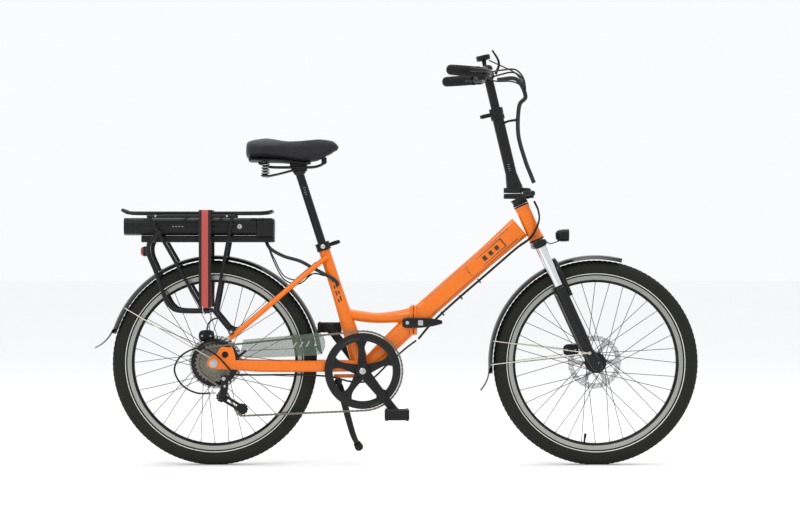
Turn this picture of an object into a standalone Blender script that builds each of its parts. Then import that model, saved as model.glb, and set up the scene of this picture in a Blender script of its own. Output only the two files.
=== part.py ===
"""Electric folding city bicycle, built as separate pieces on real joints.

Metres. +X is forward, +Y the rider's left, +Z up. Places are laid out from the rear axle along X
and from the ground along Z. At the end the whole bicycle moves so that the origin is the bottom
centre of its box.
"""
import math

import bmesh
import bpy
from mathutils import Matrix, Vector

X = Vector((1, 0, 0))
Y = Vector((0, 1, 0))
Z = Vector((0, 0, 1))

# Fits
GAP = 0.0004
RUNNING = 0.0006

# Wheels
WHEEL_STEPS = 32
TYRE_RADIUS = 0.3035
TYRE_WIDTH = 0.050
TYRE_WALL = 0.0035
TYRE_SIDE = 0.0375
RIM_FLANGE_RADIUS = TYRE_RADIUS - TYRE_SIDE
RIM_DEPTH = 0.028
RIM_WIDTH = 0.029
RIM_WALL = 0.003
SPOKES = 36
SPOKE_THICK = 0.0019
ROTOR_RADIUS = 0.080
ROTOR_THICK = 0.002
FRONT_FLANGE_RADIUS = 0.028
FRONT_FLANGE_OUT = 0.0305
MOTOR_RADIUS = 0.066
MOTOR_HALF = 0.030
FRONT_HUB_HALF = 0.048
REAR_HUB_HALF = 0.068

# Rear half of the frame
WHEELBASE = 1.130
AXLE_Z = 0.30204
GROUND = AXLE_Z - TYRE_RADIUS * math.cos(math.pi / WHEEL_STEPS)
BRACKET_X = 0.439
BRACKET_Z = 0.279
BRACKET_RADIUS = 0.021
BRACKET_HALF = 0.034
SPINDLE_RADIUS = 0.008
SEAT_ANGLE = math.radians(17.8)
SEAT_TUBE_LENGTH = 0.399
SEAT_TUBE_RADIUS = 0.0168
POST_RADIUS = 0.0127
POST_REACH = 0.218
POST_INSERTION = 0.125
POST_BORE_DEPTH = 0.310
STAY_RADIUS = 0.0078

# Frame hinge
HINGE_X = 0.589
HINGE_Y = 0.047
HINGE_LOW = 0.385
HINGE_HIGH = 0.470
PLATE_THICK = 0.011
PLATE_HALF = 0.026
KNUCKLE_RADIUS = 0.011
PIN_RADIUS = 0.005

# Front half of the frame, fork and stem
BEAM_WIDTH = 0.046
BEAM_DEPTH = 0.060
HEAD_ANGLE = math.radians(24.3)
RAKE = 0.009
HEAD_LOW = 0.402
HEAD_HIGH = 0.5175
HEAD_RADIUS = 0.0225
STEERER_RADIUS = 0.0143
STANCHION_RADIUS = 0.0138
LEG_RADIUS = 0.0178
LEG_SPREAD = 0.063
LEG_TOP = 0.249
CROWN_THICK = 0.022
CROWN_WIDTH = 0.046
ARCH_RADIUS = 0.0050
STEM_HINGE = 0.555
STEM_PIN_OUT = 0.034
STEM_ANGLE = math.radians(13.4)
STEM_LENGTH = 0.359
STEM_COLLAR = 0.256
STEM_OUTER_RADIUS = 0.0170
STEM_INNER_RADIUS = 0.0135
BAR_RADIUS = 0.011
BAR_LEVER_Y = 0.016
GRIP_RADIUS = 0.016
GRIP_LENGTH = 0.131

# Drive train
CHAIN_PITCH = 0.0127
CHAIN_PLANE = -0.044
CHAIN_HALF_WIDTH = 0.0034
CHAIN_HALF_HEIGHT = 0.004
CHAINRING_TEETH = 58
SPROCKET_TEETH = 24
CRANK_LENGTH = 0.160
CRANK_ANGLE = math.radians(-51)
PULLEY_PITCH_RADIUS = 0.020
GUIDE_PULLEY = (0.0228, 0.2026)
TENSION_PULLEY = (0.0835, 0.1663)

# Guards, rack and battery
GUARD_ROOM = 0.0115
GUARD_INNER = TYRE_RADIUS + GUARD_ROOM
GUARD_THICK = 0.002
GUARD_HALF = 0.030
RACK_SIDE_Y = 0.080
RACK_TUBE = 0.0065
DECK_Z = 0.745
DECK_Y = 0.068
DECK_TUBE = 0.005
BATTERY_HALF = 0.058
BATTERY_LOW = 0.6797
BATTERY_HIGH = 0.7315

# Finishes: base colour, roughness, metallic
ORANGE = ((0.80, 0.20, 0.02), 0.35, 0.1)
BLACK_PAINT = ((0.02, 0.02, 0.02), 0.4, 0.2)
RUBBER = ((0.015, 0.015, 0.015), 0.8, 0.0)
PLASTIC = ((0.02, 0.02, 0.022), 0.55, 0.0)
ALLOY = ((0.62, 0.63, 0.65), 0.3, 1.0)
STEEL = ((0.45, 0.45, 0.47), 0.35, 1.0)
RED = ((0.55, 0.01, 0.01), 0.4, 0.0)


# ---- Shapes ---------------------------------------------------------------------------------

def clear_scene():
    """Remove every object, so that the script starts from nothing."""
    for old in list(bpy.data.objects):
        bpy.data.objects.remove(old, do_unlink=True)


def place(x, z, y=0.0):
    """A point from the rear axle, the ground and the middle plane."""
    return Vector((x, y, z))


def steer(up, y=0.0, ahead=0.0):
    """A point along the steering axis, measured up from beside the front axle."""
    foot = place(WHEELBASE, AXLE_Z) - STEER_AHEAD * RAKE
    return foot + STEER_UP * up + STEER_AHEAD * ahead + Y * y


def stem(up, y=0.0, ahead=0.0):
    """A point along the handlebar post, measured up from the folding joint."""
    return steer(STEM_HINGE) + STEM_UP * up + STEM_AHEAD * ahead + Y * y


def seat(up):
    """A point along the seat tube's axis, measured up from the bottom bracket."""
    return place(BRACKET_X, BRACKET_Z) + SEAT_UP * up


def beam_point(share, drop=0.0, y=0.0):
    """A point on the beam's middle line, a share of the way from its foot to the head tube, or under it."""
    head = steer(HEAD_HIGH - 0.0505, 0, -0.012)
    return BEAM_FOOT.lerp(head, share) - Z * drop + Y * y


def lean(angle):
    """The unit vectors along a line that leans back by an angle, and square ahead of it."""
    return Vector((-math.sin(angle), 0, math.cos(angle))), Vector((math.cos(angle), 0, math.sin(angle)))


SEAT_UP, SEAT_AHEAD = lean(SEAT_ANGLE)
STEER_UP, STEER_AHEAD = lean(HEAD_ANGLE)
STEM_UP, STEM_AHEAD = lean(STEM_ANGLE)
BRACKET = place(BRACKET_X, BRACKET_Z)
BEAM_FOOT = place(0.640, 0.471)
REAR_AXLE = place(0, AXLE_Z)
FRONT_AXLE = place(WHEELBASE, AXLE_Z)


def basis(origin, axis, start=X):
    """A matrix at origin whose Z runs along axis and whose X lies towards start."""
    third = axis.normalized()
    if abs(third.dot(start)) > 0.98:
        start = Z
    first = (start - third * third.dot(start)).normalized()
    second = third.cross(first)
    turn = Matrix((first, second, third)).transposed().to_4x4()
    return Matrix.Translation(origin) @ turn


def add_object(name, data):
    """Put a mesh or a curve in the bicycle's collection."""
    obj = bpy.data.objects.new(name, data)
    bpy.data.collections["folding_bicycle"].objects.link(obj)
    return obj


def from_bmesh(name, shape):
    """Turn a bmesh into an object."""
    mesh = bpy.data.meshes.new(name)
    shape.to_mesh(mesh)
    shape.free()
    return add_object(name, mesh)


def rod(name, start, end, radius, end_radius=None, sides=12):
    """A round bar or a cone between two points."""
    start, end = Vector(start), Vector(end)
    shape = bmesh.new()
    bmesh.ops.create_cone(shape, cap_ends=True, segments=sides, radius1=radius,
                          radius2=radius if end_radius is None else end_radius,
                          depth=(end - start).length)
    turn = Matrix.Rotation(math.pi / sides, 4, "Z")
    shape.transform(basis((start + end) / 2, end - start) @ turn)
    return from_bmesh(name, shape)


def block(name, centre, size, tilt=0.0, turn=0.0):
    """A box, tilted about Y and then turned about Z."""
    shape = bmesh.new()
    bmesh.ops.create_cube(shape, size=1)
    scale = Matrix.Diagonal((*size, 1))
    angles = Matrix.Rotation(turn, 4, "Z") @ Matrix.Rotation(tilt, 4, "Y")
    shape.transform(Matrix.Translation(centre) @ angles @ scale)
    return from_bmesh(name, shape)


def loft(name, stations, sides=12, power=2.0, across=Y):
    """A closed body through cross-sections: each has a centre, a half width and a half depth."""
    centres = [Vector(station[0]) for station in stations]
    last = len(stations) - 1
    shape = bmesh.new()
    rings = []
    for index, (_, half_width, half_depth) in enumerate(stations):
        along = (centres[min(index + 1, last)] - centres[max(index - 1, 0)]).normalized()
        side = (across - along * along.dot(across)).normalized()
        depth = along.cross(side)
        ring = []
        for step in range(sides):
            angle = 2 * math.pi * (step + 0.5) / sides
            wide = math.copysign(abs(math.cos(angle)) ** (2 / power), math.cos(angle))
            deep = math.copysign(abs(math.sin(angle)) ** (2 / power), math.sin(angle))
            ring.append(shape.verts.new(centres[index] + side * half_width * wide + depth * half_depth * deep))
        rings.append(ring)
    for lower, upper in zip(rings, rings[1:]):
        for step in range(sides):
            after = (step + 1) % sides
            shape.faces.new((lower[step], lower[after], upper[after], upper[step]))
    shape.faces.new(rings[0])
    shape.faces.new(rings[-1])
    bmesh.ops.recalc_face_normals(shape, faces=shape.faces)
    return from_bmesh(name, shape)


def turned(name, profile, centre, axis=Y, steps=24):
    """A turned shape: (radius, height) points down the outer side, swept about an axis."""
    count = len(profile)
    ring = profile[0][0] > 0
    edges = [(index, (index + 1) % count) for index in range(count if ring else count - 1)]
    mesh = bpy.data.meshes.new(name)
    mesh.from_pydata([(radius, 0, height) for radius, height in profile], edges, [])
    obj = add_object(name, mesh)
    obj.matrix_world = basis(centre, axis) @ Matrix.Rotation(math.pi / steps, 4, "Z")
    screw = obj.modifiers.new("turn", "SCREW")
    screw.axis = "Z"
    screw.steps = steps
    screw.render_steps = steps
    screw.use_merge_vertices = True
    screw.merge_threshold = 0.00001
    return obj


def band(name, radius, thick, half_width, centre, steps=24, middle=0.0):
    """A flat ring about Y, from radius inwards by thick."""
    profile = [(radius, middle + half_width), (radius, middle - half_width),
               (radius - thick, middle - half_width), (radius - thick, middle + half_width)]
    return turned(name, profile, centre, steps=steps)


def through(points, spans=3):
    """Points on one smooth curve through the given points (Catmull-Rom)."""
    points = [Vector(point) for point in points]
    padded = [2 * points[0] - points[1]] + points + [2 * points[-1] - points[-2]]
    smooth = []
    for a, b, c, d in zip(padded, padded[1:], padded[2:], padded[3:]):
        for step in range(spans):
            t = step / spans
            smooth.append(0.5 * (2 * b + (c - a) * t + (2 * a - 5 * b + 4 * c - d) * t * t
                                 + (3 * b - a - 3 * c + d) * t ** 3))
    return smooth + [points[-1]]


def pipe(name, points, radius, resolution=1, cyclic=False):
    """A round tube or wire along points."""
    curve = bpy.data.curves.new(name, "CURVE")
    curve.dimensions = "3D"
    curve.bevel_depth = radius
    curve.bevel_resolution = resolution
    curve.use_fill_caps = True
    spline = curve.splines.new("POLY")
    spline.points.add(len(points) - 1)
    for point, spot in zip(spline.points, points):
        point.co = (*spot, 1)
    spline.use_cyclic_u = cyclic
    return add_object(name, curve)


def solid(obj):
    """Make a curve or a modified object a plain closed mesh."""
    name = obj.name
    evaluated = obj.evaluated_get(bpy.context.evaluated_depsgraph_get())
    mesh = bpy.data.meshes.new_from_object(evaluated)
    shape = bmesh.new()
    shape.from_mesh(mesh)
    bmesh.ops.remove_doubles(shape, verts=shape.verts, dist=0.000005)
    bmesh.ops.dissolve_degenerate(shape, edges=shape.edges, dist=0.000005)
    shape.to_mesh(mesh)
    shape.free()
    matrix = obj.matrix_world.copy()
    bpy.data.objects.remove(obj)
    mesh.transform(matrix)
    fresh = add_object(name, mesh)
    fresh.name = name
    return fresh


def combine(first, others, operation):
    """Join or cut with Booleans, then keep the plain result."""
    bpy.context.view_layer.update()
    name = first.name
    first = solid(first)
    for other in others:
        tool = solid(other)
        change = first.modifiers.new("change", "BOOLEAN")
        change.operation = operation
        change.solver = "EXACT"
        change.object = tool
        first = solid(first)
        bpy.data.objects.remove(tool)
    first.name = name
    return first


def fuse(first, *others):
    """One body from pieces that touch."""
    return combine(first, others, "UNION")


def carve(first, *cutters):
    """Cut holes and slots."""
    return combine(first, cutters, "DIFFERENCE")


def finish(obj, look):
    """Give a piece its own material."""
    colour, roughness, metallic = look
    material = bpy.data.materials.new(obj.name + "_finish")
    material.use_nodes = True
    shader = material.node_tree.nodes["Principled BSDF"]
    shader.inputs["Base Color"].default_value = (*colour, 1)
    shader.inputs["Roughness"].default_value = roughness
    shader.inputs["Metallic"].default_value = metallic
    obj.data.materials.clear()
    obj.data.materials.append(material)
    return obj


def body(name, anchor, parent, pieces):
    """An empty on a joint's axis that carries the pieces which move with it."""
    empty = bpy.data.objects.new(name, None)
    bpy.data.collections["folding_bicycle"].objects.link(empty)
    empty.location = anchor if parent is None else Vector(anchor) - parent.matrix_world.translation
    empty.parent = parent
    bpy.context.view_layer.update()
    for piece in pieces:
        piece.parent = empty
        piece.matrix_parent_inverse = empty.matrix_world.inverted()
    return empty


# ---- Wheels ---------------------------------------------------------------------------------

def tyre(name, axle):
    """An open C-section tyre with a narrow flat crown."""
    half = TYRE_WIDTH / 2
    centre = TYRE_RADIUS - half
    inner = half - TYRE_WALL
    outside = [(centre + half, half * math.tan(math.radians(15)))]
    outside += [(centre + half * math.cos(a), half * math.sin(a)) for a in map(math.radians, (52, 92, 135))]
    inside = [(centre + inner * math.cos(a), inner * math.sin(a)) for a in map(math.radians, (135, 78, 26))]
    upper = list(reversed(outside))
    lower = [(radius, -height) for radius, height in outside]
    back = [(radius, -height) for radius, height in inside] + list(reversed(inside))
    return finish(turned(name, upper + lower + back, axle, steps=WHEEL_STEPS), RUBBER)


def rim(name, axle):
    """A deep channel rim that stands between the tyre's beads."""
    top = RIM_FLANGE_RADIUS
    low = top - RIM_DEPTH
    half = RIM_WIDTH / 2
    bed = 0.010
    well = [(top, half - RIM_WALL), (low + bed, half - RIM_WALL)]
    well += [(radius, -height) for radius, height in reversed(well)]
    outside = [(low, half - 0.006), (low + 0.009, half)]
    back = [(top, -half)] + [(radius, -height) for radius, height in reversed(outside)]
    profile = [(top, half)] + well + back + outside
    return finish(turned(name, profile, axle, steps=WHEEL_STEPS), ALLOY)


def spokes(name, axle, flange, left, right, crossings):
    """36 crossed spokes, joined at the nipples by a thin strip under the rim."""
    outer = RIM_FLANGE_RADIUS - RIM_DEPTH - 2 * GAP
    strip = band(name, outer, 0.003, 0.0056, axle, steps=WHEEL_STEPS)
    shape = bmesh.new()
    for index in range(SPOKES):
        side = 1 if index % 2 else -1
        lead = 1 if index % 4 < 2 else -1
        rim_angle = 2 * math.pi * index / SPOKES
        hub_angle = rim_angle + lead * crossings * 4 * math.pi / SPOKES
        hub_y = (left if side > 0 else -right) + lead * 0.0032
        inner = axle + Vector((flange * math.cos(hub_angle), hub_y, flange * math.sin(hub_angle)))
        reach = outer - 0.0019
        tip_y = side * 0.0030 + lead * 0.0012
        tip = axle + Vector((reach * math.cos(rim_angle), tip_y, reach * math.sin(rim_angle)))
        made = bmesh.ops.create_cone(shape, cap_ends=True, segments=4, radius1=SPOKE_THICK / 1.4,
                                     radius2=SPOKE_THICK / 1.4, depth=(tip - inner).length)
        bmesh.ops.transform(shape, matrix=basis((inner + tip) / 2, tip - inner, Y), verts=made["verts"])
    wires = from_bmesh(name + "_wires", shape)
    return finish(fuse(strip, wires), STEEL)


def front_hub():
    """A turned hub with two spoke flanges on its axle."""
    flange = FRONT_FLANGE_RADIUS
    out = FRONT_FLANGE_OUT
    half = [(0, FRONT_HUB_HALF), (0.0047, FRONT_HUB_HALF), (0.0047, 0.0345), (0.016, 0.0345),
            (flange, out), (flange, out - 0.003), (0.014, 0.021)]
    profile = half + [(radius, -height) for radius, height in reversed(half)]
    return finish(turned("front_hub", profile, FRONT_AXLE, steps=16), BLACK_PAINT)


def hub_motor():
    """The motor's drum, its rotor seat on the left and its axle ends."""
    half = REAR_HUB_HALF
    profile = [(0, half), (0.006, half), (0.006, 0.050), (0.018, 0.050), (0.030, 0.036),
               (0.058, 0.035), (MOTOR_RADIUS, MOTOR_HALF), (MOTOR_RADIUS, -MOTOR_HALF + 0.003),
               (0.058, -0.033), (0.006, -0.0365), (0.006, -half), (0, -half)]
    return finish(turned("rear_hub_motor", profile, REAR_AXLE, steps=24), BLACK_PAINT)


def rotor(name, axle, y, inner):
    """A flat brake disc on the left of a hub."""
    return finish(band(name, ROTOR_RADIUS, ROTOR_RADIUS - inner, ROTOR_THICK / 2, axle, 28, y), STEEL)


def caliper(name, centre, rotor_y, axle, depth):
    """A brake caliper with a slot for the disc."""
    case = loft(name, [(centre + Y * (rotor_y - depth), 0.020, 0.015),
                       (centre + Y * (rotor_y - depth + 0.003), 0.024, 0.018),
                       (centre + Y * (rotor_y + depth - 0.003), 0.024, 0.018),
                       (centre + Y * (rotor_y + depth), 0.020, 0.015)], 10, 3, across=X)
    slot = band(name + "_slot", ROTOR_RADIUS + 0.002, 0.060, ROTOR_THICK / 2 + RUNNING, axle, 28, rotor_y)
    return finish(carve(case, slot), BLACK_PAINT)


# ---- Frame ----------------------------------------------------------------------------------

def hinge_knuckle(name, low, high, radius=KNUCKLE_RADIUS):
    """A round lug on the fold's axis."""
    return rod(name, place(HINGE_X, low, HINGE_Y), place(HINGE_X, high, HINGE_Y), radius, sides=14)


def main_frame_rear():
    """Seat tube, bracket shell, curved tube, strut, fixed hinge plate and its pressed pin, as one."""
    top = SEAT_TUBE_LENGTH
    frame = loft("main_frame_rear", [(seat(0), 0.020, 0.027), (seat(0.12), 0.019, 0.023),
                                     (seat(0.26), SEAT_TUBE_RADIUS, 0.018),
                                     (seat(top), SEAT_TUBE_RADIUS, SEAT_TUBE_RADIUS)], 16)
    shell = rod("shell", BRACKET - Y * BRACKET_HALF, BRACKET + Y * BRACKET_HALF, BRACKET_RADIUS, sides=18)
    curve = loft("curve", [(seat(0.178), 0.014, 0.0155), (place(0.430, 0.440), 0.015, 0.016),
                           (place(0.482, 0.4345), 0.016, 0.0155), (place(0.540, 0.438), 0.018, 0.018),
                           (place(0.581, 0.440), 0.024, 0.025)])
    strut = loft("strut", [(BRACKET, 0.016, 0.020), (place(0.490, 0.328), 0.018, 0.026),
                           (place(0.560, 0.396), 0.021, 0.028), (place(0.580, 0.412), 0.022, 0.026)])
    plate_x = HINGE_X - PLATE_THICK / 2 - GAP
    height = HINGE_HIGH - HINGE_LOW
    middle = (HINGE_HIGH + HINGE_LOW) / 2
    plate = block("plate", place(plate_x, middle, 0.004), (PLATE_THICK, 2 * PLATE_HALF + 0.008, height))
    low_tab = block("low_tab", place(plate_x, HINGE_LOW + 0.0105, 0.038), (PLATE_THICK, 0.018, 0.021))
    high_tab = block("high_tab", place(plate_x, HINGE_HIGH - 0.0105, 0.038), (PLATE_THICK, 0.018, 0.021))
    low = hinge_knuckle("low", HINGE_LOW, HINGE_LOW + 0.021)
    high = hinge_knuckle("high", HINGE_HIGH - 0.021, HINGE_HIGH)
    stand_plate = block("stand_plate", place(0.395, 0.2625, 0.004), (0.085, 0.044, 0.010))
    pin = hinge_knuckle("pin", HINGE_LOW - 0.003, HINGE_HIGH + 0.003, PIN_RADIUS)
    frame = fuse(frame, shell, curve, strut, plate, low_tab, high_tab, low, high, pin, stand_plate)
    front_room = block("front_room", place(HINGE_X + 0.0498 - GAP, middle, -0.010), (0.100, 0.080, 0.200))
    bore = rod("bore", seat(top - POST_BORE_DEPTH), seat(top + 0.01), POST_RADIUS + RUNNING, sides=16)
    axle_bore = rod("axle_bore", BRACKET - Y * 0.05, BRACKET + Y * 0.05, SPINDLE_RADIUS + RUNNING, sides=16)
    return finish(carve(frame, front_room, bore, axle_bore), ORANGE)


def chainstay(name, side):
    """An oval stay from the bracket shell to its dropout plate."""
    stay = loft(name, [(place(0.432, 0.2925, side * 0.0200), 0.0078, 0.016),
                       (place(0.350, 0.2925, side * 0.0285), 0.0078, 0.017),
                       (place(0.295, 0.2925, side * 0.0385), 0.0078, 0.017),
                       (place(0.150, 0.2925, side * 0.0540), 0.0078, 0.0165),
                       (place(0.052, 0.2990, side * 0.0715), 0.0058, 0.014)])
    plate = loft(name + "_plate", [(place(0.062, 0.303, side * 0.0725), 0.0033, 0.020),
                                   (place(0.030, 0.318, side * 0.0725), 0.0033, 0.034),
                                   (place(0.004, 0.312, side * 0.0725), 0.0033, 0.026),
                                   (place(-0.018, 0.306, side * 0.0725), 0.0033, 0.014)], 8, 4)
    room = rod(name + "_room", BRACKET - Y * 0.05, BRACKET + Y * 0.05, BRACKET_RADIUS + GAP, sides=18)
    tube_room = loft(name + "_tube_room", [(seat(-0.05), 0.0204, 0.0274), (seat(0), 0.0204, 0.0274),
                                           (seat(0.12), 0.0194, 0.0234)], 16)
    return finish(carve(fuse(stay, plate), room, tube_room), ORANGE)


def seatstay(name, side):
    """A slim stay from the seat tube to the top of its dropout plate."""
    points = through([place(0.333, 0.617, side * 0.0185), place(0.290, 0.5815, side * 0.034),
                      place(0.235, 0.535, side * 0.0455), place(0.120, 0.4370, side * 0.0560),
                      place(0.046, 0.3745, side * 0.0625)], 2)
    stay = pipe(name, points, STAY_RADIUS, 2)
    room = loft(name + "_room", [(seat(0.22), SEAT_TUBE_RADIUS + GAP, 0.0186),
                                 (seat(0.26), SEAT_TUBE_RADIUS + GAP, 0.0184),
                                 (seat(SEAT_TUBE_LENGTH + 0.01), SEAT_TUBE_RADIUS + GAP, 0.0172)], 16)
    plate_room = block(name + "_plate_room", place(0.03, 0.33, side * 0.0775), (0.12, 0.0170, 0.11))
    return finish(carve(stay, room, plate_room), ORANGE)


def main_frame_front():
    """The beam, the head tube and the swinging hinge plate, welded as one."""
    beam = loft("main_frame_front", [(place(0.5985, 0.432), BEAM_WIDTH / 2, 0.036),
                                     (beam_point(0), BEAM_WIDTH / 2, BEAM_DEPTH / 2),
                                     (beam_point(0.575, 0.002), BEAM_WIDTH / 2, BEAM_DEPTH / 2),
                                     (beam_point(1), 0.018, 0.034)], 16, 3.5)
    head = rod("head", steer(HEAD_LOW), steer(HEAD_HIGH), HEAD_RADIUS, sides=20)
    plate_x = HINGE_X + PLATE_THICK / 2 + GAP
    height = HINGE_HIGH - HINGE_LOW
    middle = (HINGE_HIGH + HINGE_LOW) / 2
    plate = block("plate", place(plate_x, middle, 0.004), (PLATE_THICK, 2 * PLATE_HALF + 0.008, height))
    tab = block("tab", place(plate_x, middle, 0.038), (PLATE_THICK, 0.018, height - 0.0436))
    knuckle = hinge_knuckle("knuckle", HINGE_LOW + 0.0218, HINGE_HIGH - 0.0218)
    frame = fuse(beam, head, plate, tab, knuckle)
    rear_room = block("rear_room", place(HINGE_X - 0.0498 + GAP, middle, -0.010), (0.100, 0.080, 0.200))
    bore = rod("bore", steer(HEAD_LOW - 0.01), steer(HEAD_HIGH + 0.01), STEERER_RADIUS + RUNNING, sides=20)
    pin_bore = hinge_knuckle("pin_bore", HINGE_LOW - 0.01, HINGE_HIGH + 0.01, PIN_RADIUS + RUNNING)
    return finish(carve(frame, rear_room, bore, pin_bore), ORANGE)


def frame_latch():
    """The clamp lever on the drive side of the frame hinge, pivoted on the rear plate."""
    y = -PLATE_HALF - 0.010
    lever = loft("frame_latch", [(place(0.557, 0.421, y), 0.006, 0.010), (place(0.565, 0.421, y), 0.008, 0.015),
                                 (place(0.610, 0.421, y), 0.007, 0.0155), (place(0.645, 0.422, y), 0.006, 0.012),
                                 (place(0.675, 0.423, y), 0.004, 0.005)], 10, 3)
    return finish(lever, BLACK_PAINT)


# ---- Fork and handlebar ---------------------------------------------------------------------

def stem_pin(offset):
    """A point on the folding axis of the post, which runs across the right front corner."""
    return steer(STEM_HINGE) + Vector((STEM_PIN_OUT, -STEM_PIN_OUT, 0)) + STEM_FOLD_AXIS * offset


STEM_FOLD_AXIS = Vector((1, 1, 0)).normalized()


def fork_crown():
    """Steerer, crown, two stanchions and the lower half of the post's folding joint."""
    crown_top = HEAD_LOW - 0.001
    crown_low = crown_top - CROWN_THICK
    middle = (crown_top + crown_low) / 2
    crown = loft("fork_crown", [(steer(middle, -0.080), 0.015, CROWN_THICK / 2),
                                (steer(middle, -0.062), 0.021, CROWN_THICK / 2),
                                (steer(middle, 0), CROWN_WIDTH / 2, CROWN_THICK / 2),
                                (steer(middle, 0.062), 0.021, CROWN_THICK / 2),
                                (steer(middle, 0.080), 0.015, CROWN_THICK / 2)], 12, 4, across=STEER_AHEAD)
    steerer = rod("steerer", steer(middle), steer(HEAD_HIGH + 0.010), STEERER_RADIUS, sides=20)
    legs = [rod("leg", steer(0.105, side * LEG_SPREAD), steer(middle, side * LEG_SPREAD), STANCHION_RADIUS, sides=14)
            for side in (-1, 1)]
    base = rod("base", steer(HEAD_HIGH + 0.001), steer(STEM_HINGE - 0.0145), 0.0215, 0.026, sides=16)
    plate = block("plate", steer(STEM_HINGE) - Z * 0.0085 + STEM_OUT * 0.003, (0.070, 0.052, 0.015), 0, -math.pi / 4)
    ends = [rod("end", stem_pin(side * 0.0125), stem_pin(side * 0.024), 0.0085, sides=10) for side in (-1, 1)]
    feet = [block("foot", stem_pin(side * 0.0182) - Z * 0.008 - STEM_OUT * 0.004, (0.016, 0.0115, 0.012), 0, -math.pi / 4)
            for side in (-1, 1)]
    pin = rod("pin", stem_pin(-0.022), stem_pin(0.022), 0.0035, sides=10)
    return finish(fuse(crown, steerer, *legs, base, plate, *feet, *ends, pin), BLACK_PAINT)


STEM_OUT = Vector((1, -1, 0)).normalized()


def fork_lowers():
    """Two sliding legs, joined over the wheel by an arch."""
    legs = []
    for side in (-1, 1):
        y = side * LEG_SPREAD
        leg = loft("leg", [(steer(-0.016, y, 0.006), 0.010, 0.014), (steer(0.0, y, 0.005), 0.0125, 0.017),
                           (steer(0.045, y), 0.0155, 0.0165), (steer(0.075, y), LEG_RADIUS, LEG_RADIUS),
                           (steer(LEG_TOP, y), LEG_RADIUS, LEG_RADIUS)], 14)
        legs.append(leg)
    reach = STANCHION_RADIUS + ARCH_RADIUS + 0.0022
    half = [(LEG_TOP - 0.035, LEG_SPREAD), (0.262, LEG_SPREAD), (0.300, 0.055), (0.322, 0.036), (0.3285, 0.012)]
    arch = [steer(up, -out, reach) for up, out in half] + [steer(up, out, reach) for up, out in reversed(half)]
    bridge = pipe("bridge", through(arch, 2), ARCH_RADIUS, 2)
    bores = [rod("bore", steer(0.060, side * LEG_SPREAD), steer(LEG_TOP + 0.01, side * LEG_SPREAD),
                 STANCHION_RADIUS + RUNNING, sides=14) for side in (-1, 1)]
    lowers = fuse(legs[0], legs[1], bridge)
    lowers.name = "fork_lowers"
    return finish(carve(lowers, *bores), BLACK_PAINT)


def stem_post_lower():
    """The folding half of the joint, the outer post and the collar that clamps the inner post."""
    post = rod("stem_post_lower", stem(0.012), stem(STEM_COLLAR), STEM_OUTER_RADIUS, sides=16)
    collar = rod("collar", stem(STEM_COLLAR - 0.030), stem(STEM_COLLAR + 0.004), 0.0205, sides=16)
    foot = rod("foot", stem(0.010), stem(0.055), 0.025, STEM_OUTER_RADIUS + 0.001, sides=16)
    plate = block("plate", steer(STEM_HINGE) + Z * 0.0088 + STEM_OUT * 0.003, (0.070, 0.052, 0.015), 0, -math.pi / 4)
    sleeve = rod("sleeve", stem_pin(-0.0115), stem_pin(0.0115), 0.0085, sides=10)
    web = block("web", stem_pin(0) + Z * 0.008 - STEM_OUT * 0.004, (0.016, 0.0225, 0.012), 0, -math.pi / 4)
    low = fuse(post, collar, foot, plate, web, sleeve)
    bore = rod("bore", stem(STEM_COLLAR - 0.150), stem(STEM_COLLAR + 0.02), STEM_INNER_RADIUS + RUNNING, sides=16)
    pin_bore = rod("pin_bore", stem_pin(-0.02), stem_pin(0.02), 0.0035 + RUNNING, sides=10)
    return finish(carve(low, bore, pin_bore), BLACK_PAINT)


def bar_point(along, ahead, y, rise=0.0):
    """A point on or near the bar: distance from the post's top ahead, and across."""
    return stem(STEM_LENGTH) + Vector((along + ahead, y, rise))


GRIP_START = Vector((-0.033, 0.187, 0))
GRIP_WAY = Vector((-0.089, 0.099, 0)).normalized()
GRIP_FRONT = Vector((GRIP_WAY.y, -GRIP_WAY.x, 0))


def grip_point(side, along, front=0.0, rise=0.0):
    """A point beside a grip, from its inner end outwards."""
    spot = GRIP_START + GRIP_WAY * along + GRIP_FRONT * front + Z * rise
    return stem(STEM_LENGTH) + Vector((spot.x, side * spot.y, spot.z))


def handlebar():
    """Inner post, clamp, swept bar, lever perches and the shifter's pod."""
    half = [bar_point(0, 0, 0.080), bar_point(-0.008, 0, 0.135), grip_point(1, 0)]
    other = [Vector((spot.x, -spot.y, spot.z)) for spot in reversed(half)]
    run = through(other + [bar_point(0, 0, 0)] + half, 3)
    run = [grip_point(-1, GRIP_LENGTH - 0.006)] + run + [grip_point(1, GRIP_LENGTH - 0.006)]
    bar = pipe("handlebar", run, BAR_RADIUS, 2)
    post = rod("post", stem(STEM_COLLAR - 0.075), stem(STEM_LENGTH), STEM_INNER_RADIUS, sides=16)
    clamp = rod("clamp", bar_point(0, 0, -0.024), bar_point(0, 0, 0.024), 0.0185, sides=14)
    perches = [loft("perch", [(grip_point(side, -0.022, -0.004), 0.015, 0.014),
                              (grip_point(side, -0.018, 0.020), 0.010, 0.009)], 8, 3, across=Z)
               for side in (-1, 1)]
    pod = rod("pod", grip_point(-1, -0.020, -0.006, -0.024), grip_point(-1, -0.020, -0.006, 0), 0.014, sides=12)
    return finish(fuse(bar, post, clamp, *perches, pod), BLACK_PAINT)


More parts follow.
